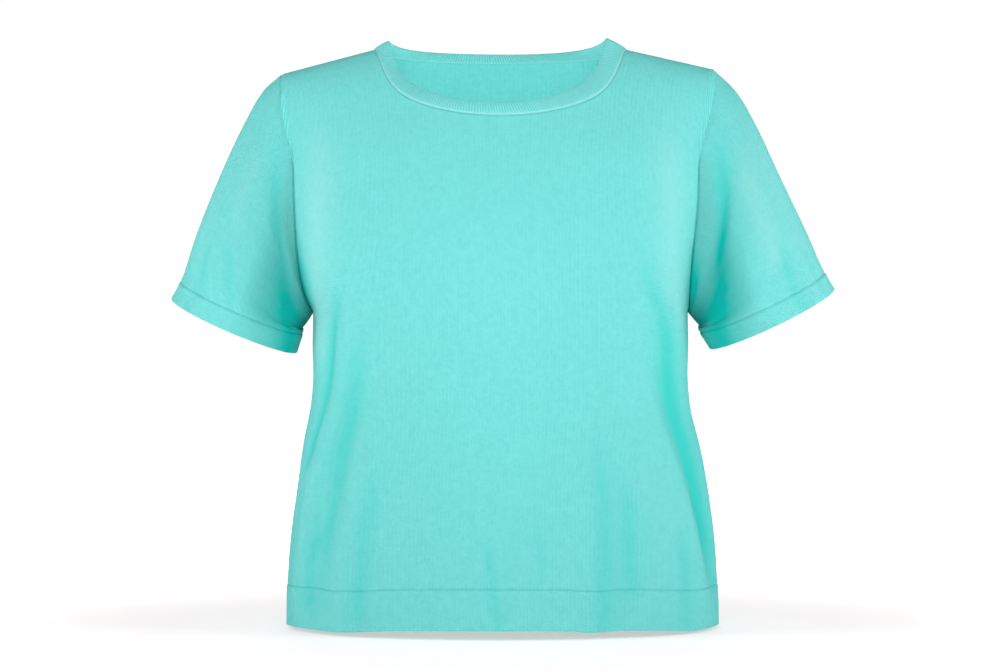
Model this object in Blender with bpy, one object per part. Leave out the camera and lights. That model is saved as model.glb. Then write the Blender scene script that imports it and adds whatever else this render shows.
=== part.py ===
"""A short-sleeved fine-knit sweater, hollow and in the shape it has when it is worn.

Front, back, two sleeves, a ribbed neckband, a folded hem in two halves and two folded cuffs, each
a thin wall of knit with open neck, hem and cuffs. Metres, +Z up. The front faces -Y, the wearer's
left is +X, and the origin lies midway between the two points where the shoulder seams meet the
neckband, because the wearer's neck and shoulders carry the garment there.

Every wall is a loft through sections, with rows that run up the piece and columns that run round
it, so its faces are joined by rows and columns. The pieces on both sides of a seam have the same
points along it, and each edge is then drawn back by half the gap that two pieces keep.
"""

import math
from typing import NamedTuple

import bmesh
import bpy
import numpy as np
from mathutils import Vector

# ---------------------------------------------------------------- sizes, in metres
KNIT = 0.0015               # one layer of the knit
FOLDED_KNIT = 0.0026        # hem and cuffs are folded double
BAND_THICK = 0.0030         # the neckband is folded double too, and ribbed
SEAM_GAP = 0.0003           # between two pieces at a seam
BAND_CLEAR = 0.00025        # the band's share of the gap at its seam, whose edge is more finely cut
PROUD = 0.0005              # a folded edge stands out from the panel above it
EDGE_ROUND = 0.35           # how far a folded edge bulges, as a share of its thickness
SIDE_Y = 0.005              # the side and shoulder seams lie in this plane

HEM_DROP = 0.584            # neck point down to the hem's edge, at the side seams
HEM_DEPTH = 0.040
HEM_RISE = 0.005            # the front hem hangs higher at the middle, over the stomach
ARMPIT_DROP = 0.266
ARMPIT_FREE = 0.06          # folds start this far from the armpit point
HALF_WIDTH = 0.20           # a panel's half width, for that distance
CUFF_SHARE = 0.92           # the cuff takes the rest of the sleeve's length
CUFF_DIP = 0.006            # the front of a cuff hangs lower than its back

BODY_LEAN = 0.0022          # the low body hangs this far towards the wearer's left
LEAN_DROPS = (0.36, 0.46)   # and gets there between these drops

NECK_HALF = 0.1300          # neckband seam, measured at the shoulder seams
NECK_DEPTHS = {-1: 0.0725, 1: 0.0085}  # drop of that seam at the middle, in front and behind
BAND_HALF = 0.1120          # free edge of the neckband at the shoulder seams
BAND_SHIFT = -0.0030        # that edge lies a little towards the wearer's right
BAND_RISES = {"left": 0.0115, "right": 0.0088}
BAND_MIDDLES = {-1: (-0.0765, -0.0605), 1: (0.0600, -0.0005)}    # y and z of that edge there
NECK_ROUND_Y = 0.95         # 1 would make the neck an ellipse seen from above
NECK_ROUND_Z = 0.83         # below 1 it is squarer than one seen from the front
NECK_EASE = 4.0             # but the seam leaves the shoulders more gently
BAND_EASE = 1.3             # and so does the free edge
NECK_SPREAD = 1.25          # crowds a panel's neck columns towards the middle
RIBS = 236
RIB_DEPTH = 0.0005

SQUARENESS = 0.87           # below 1 a body section is a little squarer than an ellipse
NECK_RIDGE = 0.016          # the shoulder line, carried on inside the neck, would rise this far
BEND_SHARE = 0.20           # share of a sleeve over which its armhole's bends die away
SHOULDER_TURN = 52.0        # half the arc of a section near the shoulders, in degrees
TOP_EASE = 0.11             # height over which columns slide to their place on the upper edge
SEAM_SWING = {"left": 10.0, "right": 18.0}     # degrees a side seam swings forward at the hem
MITRE_LIMIT = 3.0           # longest mitre at a sharp seam, in wall thicknesses


class Section(NamedTuple):
    """One level of the body: drop below the neck point, half width, depth in front and behind."""

    drop: float
    half: float
    front: float
    back: float


BODY = [
    Section(-0.010, 0.2200, 0.048, 0.054),
    Section(0.012, 0.2200, 0.062, 0.074),
    Section(0.072, 0.2120, 0.089, 0.100),
    Section(0.120, 0.2050, 0.114, 0.115),
    Section(0.180, 0.1980, 0.139, 0.121),
    Section(0.230, 0.1940, 0.150, 0.118),
    Section(0.266, 0.1910, 0.152, 0.115),
    Section(0.300, 0.1913, 0.151, 0.111),
    Section(0.335, 0.1907, 0.148, 0.108),
    Section(0.365, 0.1935, 0.146, 0.109),
    Section(0.402, 0.2018, 0.145, 0.113),
    Section(0.450, 0.2098, 0.145, 0.120),
    Section(0.500, 0.2163, 0.146, 0.126),
    Section(0.546, 0.2193, 0.146, 0.130),
    Section(0.590, 0.2200, 0.145, 0.132),
]


class ArmSection(NamedTuple):
    """One level of a sleeve: where its outer and inner lines lie, and its depth either way."""

    share: float
    outer_x: float
    outer_z: float
    inner_x: float
    inner_z: float
    front: float
    back: float


SLEEVES = {
    "left": [
        ArmSection(0.00, 0.2178, -0.0200, 0.1910, -0.2660, 0.060, 0.062),
        ArmSection(0.10, 0.2385, -0.0395, 0.1930, -0.2690, 0.065, 0.067),
        ArmSection(0.26, 0.2590, -0.0735, 0.1965, -0.2735, 0.068, 0.069),
        ArmSection(0.50, 0.2850, -0.1290, 0.2005, -0.2780, 0.067, 0.068),
        ArmSection(0.75, 0.3125, -0.1865, 0.2035, -0.2820, 0.065, 0.066),
        ArmSection(0.92, 0.3305, -0.2265, 0.2040, -0.2880, 0.063, 0.063),
        ArmSection(1.00, 0.3405, -0.2435, 0.2145, -0.3050, 0.062, 0.062),
    ],
    "right": [
        ArmSection(0.00, 0.2225, -0.0245, 0.1910, -0.2660, 0.060, 0.062),
        ArmSection(0.10, 0.2405, -0.0400, 0.1925, -0.2695, 0.065, 0.067),
        ArmSection(0.26, 0.2605, -0.0735, 0.1955, -0.2745, 0.068, 0.069),
        ArmSection(0.50, 0.2875, -0.1320, 0.1995, -0.2800, 0.067, 0.068),
        ArmSection(0.75, 0.3105, -0.1900, 0.2030, -0.2850, 0.065, 0.066),
        ArmSection(0.92, 0.3260, -0.2355, 0.2025, -0.2895, 0.063, 0.063),
        ArmSection(1.00, 0.3355, -0.2535, 0.2085, -0.3090, 0.062, 0.062),
    ],
}


class Bend(NamedTuple):
    """How far an armhole bends outwards at a turn round it, from a plain oval."""

    turn: float
    out: float


BENDS = {
    "left": [
        Bend(0.0, 0.0),
        Bend(38.0, -0.0066),
        Bend(54.0, -0.0098),
        Bend(72.0, -0.0092),
        Bend(99.0, -0.0048),
        Bend(125.0, -0.0042),
        Bend(145.0, -0.0024),
        Bend(165.0, -0.0004),
        Bend(180.0, 0.0),
    ],
    "right": [
        Bend(0.0, 0.0),
        Bend(30.0, 0.0020),
        Bend(52.0, -0.0016),
        Bend(72.0, -0.0034),
        Bend(99.0, 0.0022),
        Bend(125.0, 0.0060),
        Bend(145.0, 0.0054),
        Bend(165.0, 0.0014),
        Bend(180.0, 0.0),
    ],
}


class Fold(NamedTuple):
    """A soft fold: where its line starts and ends, its width and how far it stands out.

    turn and width are degrees round the piece. On the body 0 is the middle of the front and 90
    the wearer's left, and along is the drop below the neck point. On a sleeve 0 is its outer
    line and -90 its front, and along is a share of its length. A negative height is a trough.
    """

    turn_top: float
    along_top: float
    turn_low: float
    along_low: float
    width: float
    height: float


BODY_FOLDS = [
    Fold(-62.0, 0.240, -68.0, 0.430, 5.5, -0.0035),
    Fold(-47.0, 0.290, -62.0, 0.590, 7.0, -0.0068),
    Fold(-64.0, 0.320, -70.0, 0.530, 5.5, 0.0030),
    Fold(-39.0, 0.320, -46.0, 0.610, 6.0, 0.0030),
    Fold(-39.0, 0.490, -38.5, 0.590, 3.5, -0.0018),
    Fold(49.0, 0.250, 80.0, 0.570, 7.0, -0.0066),
    Fold(46.0, 0.280, 68.0, 0.580, 6.0, 0.0035),
    Fold(34.0, 0.370, 31.0, 0.640, 4.5, -0.0028),
    Fold(38.5, 0.450, 37.5, 0.540, 4.5, -0.0018),
    Fold(25.0, 0.390, 23.5, 0.640, 4.0, 0.0015),
    Fold(128.0, 0.270, 106.0, 0.570, 8.0, -0.0060),
    Fold(140.0, 0.330, 128.0, 0.600, 7.0, 0.0030),
    Fold(168.0, 0.350, 170.0, 0.610, 6.5, -0.0025),
    Fold(-126.0, 0.260, -107.0, 0.560, 7.5, -0.0064),
    Fold(-139.0, 0.330, -131.0, 0.600, 6.5, 0.0032),
    Fold(-163.0, 0.300, -158.0, 0.600, 6.0, -0.0024),
]
SLEEVE_FOLDS = {
    "left": [
        Fold(-122.0, 0.05, -132.0, 0.97, 18.0, -0.0046),
        Fold(-94.0, 0.20, -100.0, 0.97, 14.0, 0.0024),
        Fold(-62.0, 0.62, -56.0, 1.04, 9.0, -0.0018),
        Fold(118.0, 0.08, 126.0, 1.04, 18.0, -0.0065),
        Fold(72.0, 0.45, 66.0, 1.04, 12.0, -0.0020),
    ],
    "right": [
        Fold(-118.0, 0.05, -128.0, 0.97, 19.0, -0.0044),
        Fold(-92.0, 0.22, -96.0, 0.97, 14.0, 0.0020),
        Fold(-44.0, 0.60, -46.0, 1.04, 9.0, -0.0018),
        Fold(120.0, 0.08, 124.0, 1.04, 18.0, -0.0068),
        Fold(66.0, 0.50, 70.0, 1.04, 12.0, -0.0020),
    ],
}
FOLD_START = 0.35           # share of a fold's length over which it grows
FOLD_END = 0.15             # and over which it dies away


class Dip(NamedTuple):
    """A place round the hem where it hangs a little lower."""

    turn: float
    width: float
    depth: float


HEM_DIPS = [
    Dip(-46.0, 12.0, 0.0022),
    Dip(24.0, 6.0, 0.0015),
    Dip(58.0, 12.0, 0.0022),
    Dip(140.0, 14.0, 0.0020),
    Dip(-150.0, 14.0, 0.0020),
]

# ---------------------------------------------------------------- how finely each wall is divided
HALF_COLUMNS = 17           # across half a body panel
NECK_COLUMN = 9             # the column that ends where shoulder seam and neck meet
CROWDING = 0.055            # moves columns to where the side folds are
LOW_ROWS = 13               # hem seam to armpit
TOP_ROWS = 12               # armpit to shoulder, also half the columns of a sleeve
SLEEVE_ROWS = 9
ARMHOLE_CLIMB = 0.85        # below 1 the rows of an armhole are closer at the shoulder

KNIT_GREEN = (0.190, 0.745, 0.690, 1.0)
BAND_GREEN = (0.165, 0.690, 0.645, 1.0)
ROUGHNESS = 0.85
UPWARDS = Vector((0.31, 0.17, 1.0))    # a direction that no seam runs square to
GARMENT = "short_sleeved_sweater"


class Place(NamedTuple):
    """A point of the cloth with its place round and along the piece, which the folds need."""

    point: Vector
    turn: float = 0.0
    along: float = 0.0
    free: float = 0.0       # 0 where a seam pins the folds, 1 clear of it


class Piece:
    """One cut piece: its name, its group of pieces that lie smooth, and its grid of places."""

    def __init__(self, name, group, grid, ring=False, folds=()):
        self.name = name
        self.group = group
        self.grid = grid
        self.ring = ring
        self.folds = folds
        self.proud = 0.0
        self.thick = KNIT
        self.clear = SEAM_GAP / 2
        self.points = [[place.point for place in row] for row in grid]

    def corners(self):
        """Rows and columns of the corners of each quad, in the order that faces outwards."""
        columns = len(self.grid[0])
        for r in range(len(self.grid) - 1):
            for c in range(columns if self.ring else columns - 1):
                n = (c + 1) % columns
                yield (r, c), (r, n), (r + 1, n), (r + 1, c)


# ---------------------------------------------------------------- small helpers
def smooth(x):
    """0 below 0, 1 above 1, and an even slope between."""
    x = min(1.0, max(0.0, x))
    return x * x * (3.0 - 2.0 * x)


def read(table, column, where):
    """The value of a column at a place on the table's first column, on a smooth curve."""
    places = [row[0] for row in table]
    values = [getattr(row, column) for row in table]
    if where <= places[0]:
        return values[0]
    if where >= places[-1]:
        return values[-1]
    steps = [b - a for a, b in zip(places, places[1:])]
    slopes = [(b - a) / s for a, b, s in zip(values, values[1:], steps)]
    ends = [slopes[0], *[(a + b) / 2 for a, b in zip(slopes, slopes[1:])], slopes[-1]]
    k = max(i for i, place in enumerate(places[:-1]) if place <= where)
    t = (where - places[k]) / steps[k]
    return (
        (1 + 2 * t) * (1 - t) ** 2 * values[k]
        + t * t * (3 - 2 * t) * values[k + 1]
        + t * (1 - t) ** 2 * ends[k] * steps[k]
        - t * t * (1 - t) * ends[k + 1] * steps[k]
    )


def turn_between(a, b):
    """The signed turn from b to a, at most half a circle."""
    return (a - b + 180.0) % 360.0 - 180.0


def fold_height(folds, place):
    """How far the cloth stands out (or in) at a place, from all the folds of its piece."""
    total = 0.0
    for fold in folds:
        s = (place.along - fold.along_top) / (fold.along_low - fold.along_top)
        if 0.0 < s < 1.0:
            line = fold.turn_top + (fold.turn_low - fold.turn_top) * s
            fade = min(smooth(s / FOLD_START), smooth((1.0 - s) / FOLD_END))
            aside = turn_between(place.turn, line) / fold.width
            total += fold.height * fade * math.exp(-aside * aside)
    return total * place.free


def side_of(u):
    return "left" if u >= 0 else "right"


# ---------------------------------------------------------------- sleeves and armholes
def arm_point(side, share, degrees):
    """A point of a sleeve: 0 degrees is its outer line, -90 its front and 90 its back."""
    rows = SLEEVES[side]
    columns = ("outer_x", "outer_z", "inner_x", "inner_z", "front", "back")
    outer_x, outer_z, inner_x, inner_z, front, back = (read(rows, c, share) for c in columns)
    angle = math.radians(degrees)
    outward = (1.0 + math.cos(angle)) / 2.0
    down_sleeve = Vector((outer_z - inner_z, 0.0, inner_x - outer_x)).normalized()
    width = Vector((outer_x - inner_x, 0.0, outer_z - inner_z))
    point = Vector((inner_x, SIDE_Y, inner_z)) + width * outward
    point -= down_sleeve * CUFF_DIP * smooth(share) * math.sin(angle)
    point.y += (back if degrees > 0 else front) * math.sin(angle)
    bend = read(BENDS[side], "out", abs(degrees))
    point.x += bend * (1.0 - smooth(share / BEND_SHARE))
    if side == "right":
        point.x = -point.x
    return point


def armhole(side, face, t):
    """The armhole seam from the armpit, t = 0, to the shoulder point, t = 1.

    face is -1 for the front half and 1 for the back half.
    """
    return arm_point(side, 0.0, face * 180.0 * (1.0 - t**ARMHOLE_CLIMB))


def level_on_armhole(side, face, z):
    """How far up the armhole a height lies, found by halving."""
    low, high = 0.0, 1.0
    for _ in range(30):
        middle = (low + high) / 2
        if armhole(side, face, middle).z < z:
            low = middle
        else:
            high = middle
    return (low + high) / 2


def sleeve_turns(side):
    """Degrees of the points round a sleeve, in the order that makes its faces point out."""
    front = [-180.0 * (1.0 - (k / TOP_ROWS) ** ARMHOLE_CLIMB) for k in range(TOP_ROWS + 1)]
    turns = front + [-a for a in reversed(front[1:-1])]
    return turns if side == "left" else turns[::-1]


def sleeve_grid(side, shares):
    """Rows from the lower end of the sleeve up to the armhole."""
    rows = []
    for share in shares:
        free = smooth(share / 0.12)
        rows.append([Place(arm_point(side, share, a), a, share, free) for a in sleeve_turns(side)])
    return rows


# ---------------------------------------------------------------- front and back
def across(column):
    """The share of the half width at a column, counted from the middle."""
    c = column / HALF_COLUMNS
    return c + CROWDING * math.sin(2.0 * math.pi * c)


NECK_SHARE = across(NECK_COLUMN)
WIDEST = 0.5 ** (1.0 / ARMHOLE_CLIMB)      # how far up an armhole its widest level lies


def ring_turn(u, face, drop):
    """Degrees round the body at u, with the side seams swung forward towards the hem."""
    swing = SEAM_SWING[side_of(u)] * smooth((drop - ARMPIT_DROP) / (HEM_DROP - ARMPIT_DROP))
    if face < 0:
        return u * (90.0 - swing)
    return math.copysign(180.0, u) - u * (90.0 + swing)


def ring_point(turn, z):
    """A point of the closed body sections, below the armpits."""
    angle = math.radians(turn)
    forward = math.cos(angle)
    depth = read(BODY, "front" if forward > 0 else "back", -z)
    y = SIDE_Y - math.copysign(depth * abs(forward) ** SQUARENESS, forward)
    lean = BODY_LEAN * smooth((-z - LEAN_DROPS[0]) / (LEAN_DROPS[1] - LEAN_DROPS[0]))
    return Vector((read(BODY, "half", -z) * math.sin(angle) + lean, y, z))


def hem_level(turn):
    """Height of the hem's edge at a turn round the body."""
    rise = HEM_RISE * max(0.0, math.cos(math.radians(turn))) ** 2
    dips = sum(d.depth * math.exp(-((turn_between(turn, d.turn) / d.width) ** 2)) for d in HEM_DIPS)
    return -HEM_DROP + rise - dips


def low_place(u, face, share):
    """A place below the armpit: share 0 is the hem seam and 1 the armpit level."""
    foot = hem_level(ring_turn(u, face, HEM_DROP)) + HEM_DEPTH
    z = foot + (-ARMPIT_DROP - foot) * share
    turn = ring_turn(u, face, -z)
    from_armpit = math.hypot(z + ARMPIT_DROP, HALF_WIDTH * (1.0 - abs(u)))
    return Place(ring_point(turn, z), turn, -z, smooth(from_armpit / ARMPIT_FREE))


def hem_place(u, face, share):
    """A place on the hem: share 0 is its edge and 1 its seam."""
    seam = hem_level(ring_turn(u, face, HEM_DROP)) + HEM_DEPTH
    z = seam - HEM_DEPTH * (1.0 - share)
    turn = ring_turn(u, face, -seam)
    return Place(ring_point(turn, z), turn, -z, 1.0)


def neck_turn(u):
    """The turn round the neck at u: 0 is the middle of a panel and 90 degrees a shoulder seam."""
    return math.radians(math.copysign(90.0 * (abs(u) / NECK_SHARE) ** NECK_SPREAD, u))


def neck_height(turn, rise, middle, ease):
    """Height of a line round the neck, from its rise at the shoulder seams."""
    forward = max(0.0, math.cos(turn))
    power = NECK_ROUND_Z + ease * (1.0 - forward) ** 4
    return rise + (middle - rise) * forward**power


def top_edge(u, face):
    """The upper edge of a panel: the shoulder seams and the neck between them."""
    if abs(u) < NECK_SHARE - 1e-9:
        x = NECK_HALF * math.sin(neck_turn(u))
        z = neck_height(neck_turn(u), 0.0, -NECK_DEPTHS[face], NECK_EASE)
        return Vector((x, cloth_y(x, z, face), z))
    neck = Vector((math.copysign(NECK_HALF, u), SIDE_Y, 0.0))
    return neck.lerp(armhole(side_of(u), face, 1.0), (abs(u) - NECK_SHARE) / (1.0 - NECK_SHARE))


def band_edge(u, face):
    """The neckband's free edge."""
    turn = neck_turn(u)
    y, z = BAND_MIDDLES[face]
    forward = max(0.0, math.cos(turn)) ** NECK_ROUND_Y
    x = BAND_SHIFT + BAND_HALF * math.sin(turn)
    left = (1.0 + math.sin(turn)) / 2.0
    rise = BAND_RISES["right"] + (BAND_RISES["left"] - BAND_RISES["right"]) * left
    return Vector((x, SIDE_Y + (y - SIDE_Y) * forward, neck_height(turn, rise, z, BAND_EASE)))


def arc_share(angle, turn):
    """1 in the middle of an arc that turns this far each way, and 0 at its end."""
    end = max(0.0, math.cos(turn)) ** SQUARENESS
    return (max(0.0, math.cos(angle)) ** SQUARENESS - end) / (1.0 - end)


def chest_arc(side, face, z):
    """A section between the armholes: its turn each way, its ends' x and y, and its middle's y.

    Up to the widest level of the armholes it carries on the body sections below, and above that
    its arc opens out evenly towards the shoulders.
    """
    widest = armhole(side, face, WIDEST)
    shoulder = armhole(side, face, 1.0)
    lower = armhole(side, face, level_on_armhole(side, face, min(z, widest.z)))
    depth = read(BODY, "front" if face < 0 else "back", -min(z, widest.z))
    turn = math.acos((abs(lower.y - SIDE_Y) / depth) ** (1.0 / SQUARENESS))
    if z > widest.z:
        share = smooth((z - widest.z) / (shoulder.z - widest.z))
        turn += (math.radians(SHOULDER_TURN) - turn) * share
    end_x = armhole(side, face, level_on_armhole(side, face, min(z, shoulder.z))).x
    middle = SIDE_Y + face * read(BODY, "front" if face < 0 else "back", -z)
    return turn, abs(end_x), lower.y, middle


def ridge_height(side, x):
    """Height of the shoulder line at x, carried on in a dome of even slope inside the neck."""
    shoulder = armhole(side, -1, 1.0)
    slope = shoulder.z / (abs(shoulder.x) - NECK_HALF)
    if abs(x) >= NECK_HALF:
        return slope * (abs(x) - NECK_HALF)
    inside = 1.0 - (x / NECK_HALF) ** 2
    return NECK_RIDGE * inside**2 - slope * NECK_HALF / 2.0 * inside


def roll_over(x):
    """A quarter round: steep at 0 and level from 1 on."""
    return math.sqrt(1.0 - (1.0 - min(1.0, max(0.0, x))) ** 2)


def cloth_y_by(side, x, z, face):
    """How far forward or back the cloth lies, above the armpits, as one side's armhole shapes it."""
    turn, end_x, end_y, middle = chest_arc(side, face, z)
    angle = math.asin(min(1.0, abs(x) * math.sin(turn) / end_x))
    chest = end_y + (middle - end_y) * arc_share(min(angle, turn), turn)
    fall = armhole(side, face, 1.0).z - armhole(side, face, WIDEST).z
    return SIDE_Y + (chest - SIDE_Y) * roll_over((ridge_height(side, x) - z) / fall)


def cloth_y(x, z, face):
    """How far forward or back the cloth lies, passing from one side's shape to the other's."""
    right, left = (cloth_y_by(side, x, z, face) for side in ("right", "left"))
    return right + (left - right) * smooth((x / NECK_HALF + 1.0) / 2.0)


def top_place(u, face, t):
    """A place between the armpit level, t = 0, and the shoulder seam or neck, t = 1."""
    side = side_of(u)
    edge = armhole(side, face, t)
    around = ring_turn(u, face, 0.0)
    if abs(u) > 1.0 - 1e-9:
        return Place(edge, around, -edge.z)
    top = top_edge(u, face)
    if t > 1.0 - 1e-9:
        return Place(top, around, -top.z)
    lift = (edge.z + ARMPIT_DROP) / (armhole(side, face, 1.0).z + ARMPIT_DROP)
    z = -ARMPIT_DROP + (top.z + ARMPIT_DROP) * lift
    turn, end_x, _, _ = chest_arc(side, face, z)
    x = math.copysign(end_x * math.sin(abs(u) * turn) / math.sin(turn), u)
    x = top.x + (x - top.x) * smooth((top.z - z) / TOP_EASE)
    free = smooth(HALF_WIDTH * (1.0 - abs(u)) / ARMPIT_FREE) * smooth((top.z - z) / ARMPIT_FREE)
    return Place(Vector((x, cloth_y(x, z, face), z)), around, -z, free)


def panel_columns(face):
    """Shares of the half width of all columns, in the order that makes the faces point out."""
    columns = range(-HALF_COLUMNS, HALF_COLUMNS + 1)
    shares = [math.copysign(across(abs(c)), c) for c in columns]
    return shares if face < 0 else shares[::-1]


def panel_grid(face):
    shares = panel_columns(face)
    low = [[low_place(u, face, r / LOW_ROWS) for u in shares] for r in range(LOW_ROWS)]
    top = [[top_place(u, face, r / TOP_ROWS) for u in shares] for r in range(TOP_ROWS + 1)]
    return low + top


def hem_grid(face):
    return [[hem_place(u, face, share) for u in panel_columns(face)] for share in (0.0, 1.0)]


def band_grid():
    """The neckband's seam and its free edge, at the columns of the panels that meet it."""
    seam, edge = [], []
    for face in (-1, 1):
        for u in panel_columns(face):
            past_end = NECK_SHARE + 1e-9 if face < 0 else NECK_SHARE - 1e-9
            if abs(u) < past_end:
                seam.append(Place(top_edge(u, face)))
                edge.append(Place(band_edge(u, face)))
    return [seam, edge]


# ---------------------------------------------------------------- from grids to walls
def key(point):
    """The same for points of two pieces that lie on each other."""
    return tuple(round(c * 1e6) for c in point)


def shared_normals(pieces):
    """The outward direction at each point, and its mitre length, shared across the seams."""
    groups = {}
    for piece in pieces:
        totals = groups.setdefault(piece.group, {})
        for corners in piece.corners():
            a, b, c, d = (piece.points[row][column] for row, column in corners)
            normal = (c - a).cross(d - b)
            for point in (a, b, c, d):
                place = key(point)
                totals[place] = totals.get(place, Vector()) + normal
    found = {}
    for totals in groups.values():
        for place, normal in totals.items():
            found.setdefault(place, []).append(normal.normalized())
    shared = {}
    for place, normals in found.items():
        mean = sum(normals, Vector()).normalized()
        least = min(mean.dot(n) for n in normals)
        shared[place] = (mean, min(MITRE_LIMIT, 1.0 / max(0.05, least)))
    return shared


def fold_pieces(pieces):
    """Move each point along its normal by the height of the folds there."""
    normals = shared_normals(pieces)
    for piece in pieces:
        for r, row in enumerate(piece.grid):
            for c, place in enumerate(row):
                outward = normals[key(place.point)][0]
                piece.points[r][c] = place.point + outward * fold_height(piece.folds, place)


def edge_pairs(rows, columns, ring):
    """Each step along a piece's edges, with the point just inside its first end."""
    for r, inner in ((0, 1), (rows - 1, rows - 2)):
        for c in range(columns if ring else columns - 1):
            yield (r, c), (r, (c + 1) % columns), (inner, c)
    if not ring:
        for c, inner in ((0, 1), (columns - 1, columns - 2)):
            for r in range(rows - 1):
                yield (r, c), (r + 1, c), (r, inner)


def edge_shifts(piece, directions):
    """How each edge point moves to leave half the seam's gap on this side of it."""
    pushes = {}
    for first, second, inside in edge_pairs(len(piece.points), len(piece.points[0]), piece.ring):
        a, b, within = (piece.points[r][c] for r, c in (first, second, inside))
        mitre = directions[first[0]][first[1]] + directions[second[0]][second[1]]
        push = (b - a).cross(mitre).normalized()
        if push.dot(within - a) < 0:
            push.negate()
        pushes.setdefault(first, []).append(push)
        pushes.setdefault(second, []).append(push)
    shifts = {}
    for place, found in pushes.items():
        wanted = np.full(len(found), piece.clear)
        shifts[place] = Vector(np.linalg.lstsq(np.array(found), wanted, rcond=0.2)[0])
    return shifts


def wall_grids(piece, normals):
    """The outer and inner points of a piece, its edges drawn back from the seams."""
    found = [[normals[key(point)] for point in row] for row in piece.points]
    directions = [[mean for mean, _ in row] for row in found]
    shifts = edge_shifts(piece, directions)
    outer, inner = [], []
    for r, row in enumerate(piece.points):
        outer.append([])
        inner.append([])
        for c, point in enumerate(row):
            mean, mitre = found[r][c]
            here = point + shifts.get((r, c), Vector())
            outer[-1].append(here + mean * piece.proud * mitre)
            inner[-1].append(here - mean * (piece.thick - piece.proud) * mitre)
    return outer, inner


def rounded(outer_row, inner_row, next_row, thick):
    """The middle line of a folded edge, which bulges past the wall's own edge."""
    points = []
    for out, within, beyond in zip(outer_row, inner_row, next_row):
        points.append((out + within) / 2 + (out - beyond).normalized() * thick * EDGE_ROUND)
    return points


def loft(name, strips, ring, colour, rims):
    """An object whose closed skin runs through a closed cycle of rows of points.

    rims are the rows after which the skin turns from the outer side to the inner, or back.
    """
    mesh = bmesh.new()
    rows = [[mesh.verts.new(point) for point in strip] for strip in strips]
    columns = len(rows[0])
    for r, row in enumerate(rows):
        beyond = rows[(r + 1) % len(rows)]
        for c in range(columns if ring else columns - 1):
            n = (c + 1) % columns
            if r in rims:
                split_quad(mesh, row[c], row[n], beyond[n], beyond[c])
            else:
                mesh.faces.new((row[c], row[n], beyond[n], beyond[c]))
    if not ring:
        close_side(mesh, [row[0] for row in rows])
        close_side(mesh, [row[-1] for row in rows])
    bmesh.ops.recalc_face_normals(mesh, faces=mesh.faces)
    data = bpy.data.meshes.new(name)
    mesh.to_mesh(data)
    mesh.free()
    data.shade_smooth()
    data.set_sharp_from_angle(angle=math.radians(50.0))
    thing = bpy.data.objects.new(name, data)
    thing.data.materials.append(cloth_material(name, colour))
    bpy.data.collections[GARMENT].objects.link(thing)
    return thing


def split_quad(mesh, a, b, c, d):
    """Two triangles for a twisted quad, cut the same way on both sides of a seam."""
    a_higher = (a.co + d.co).dot(UPWARDS) > (b.co + c.co).dot(UPWARDS)
    a_outer = (a.co + b.co).length > (c.co + d.co).length
    if a_higher == a_outer:
        mesh.faces.new((a, b, c))
        mesh.faces.new((a, c, d))
    else:
        mesh.faces.new((a, b, d))
        mesh.faces.new((b, c, d))


def close_side(mesh, ends):
    """Close one side edge of a wall, between its outer rows and its inner rows."""
    low, high = 0, len(ends) - 1
    if len(ends) % 2:
        mesh.faces.new((ends[0], ends[high - 1], ends[high]))
        high -= 1
    while high - low > 1:
        split_quad(mesh, ends[low], ends[low + 1], ends[high - 1], ends[high])
        low, high = low + 1, high - 1


def cloth_material(name, colour):
    material = bpy.data.materials.new(f"{name}_knit")
    material.use_nodes = True
    shader = material.node_tree.nodes["Principled BSDF"]
    shader.inputs["Base Color"].default_value = colour
    shader.inputs["Roughness"].default_value = ROUGHNESS
    shader.inputs["Metallic"].default_value = 0.0
    return material


def make_wall(piece, normals, fold_low):
    """A wall of one piece, with a rounded folded edge along its lowest row if it has one."""
    outer, inner = wall_grids(piece, normals)
    strips = outer + inner[::-1]
    if fold_low:
        strips.append(rounded(outer[0], inner[0], outer[1], piece.thick))
    rims = {len(outer) - 1} if fold_low else {len(outer) - 1, len(strips) - 1}
    return loft(piece.name, strips, piece.ring, KNIT_GREEN, rims)


def along_loop(points, share):
    """The stretch of a closed row of points that holds this share of it, and how far along."""
    place = share * len(points)
    first = int(place) % len(points)
    return first, (first + 1) % len(points), place - int(place)


def rib_shares(row):
    """Even steps round the neck seam, two for each rib, as shares of its number of stretches."""
    lengths = [(b - a).length for a, b in zip(row, row[1:] + row[:1])]
    total = sum(lengths)
    shares, done, k = [], 0.0, 0
    for j in range(2 * RIBS):
        wanted = total * j / (2 * RIBS)
        while done + lengths[k] < wanted - 1e-12:
            done += lengths[k]
            k += 1
        shares.append((k + (wanted - done) / lengths[k]) / len(row))
    return shares


def make_neckband(piece, normals):
    """The neckband: its plain wall divided into ribs, whose outer points are raised."""
    outer, inner = wall_grids(piece, normals)
    tip = rounded(outer[1], inner[1], outer[0], piece.thick)
    strips = []
    for row, raised in ((outer[0], 1.0), (outer[1], 1.0), (tip, 0.0), (inner[1], 0.0), (inner[0], 0.0)):
        strip = []
        for j, share in enumerate(rib_shares(piece.points[0])):
            first, second, part = along_loop(row, share)
            point = row[first].lerp(row[second], part)
            if j % 2 == 0 and raised:
                outward = normals[key(piece.points[0][first])][0]
                point = point + outward * RIB_DEPTH * raised
            strip.append(point)
        strips.append(strip)
    return loft(piece.name, strips, True, BAND_GREEN, rims=())


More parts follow.
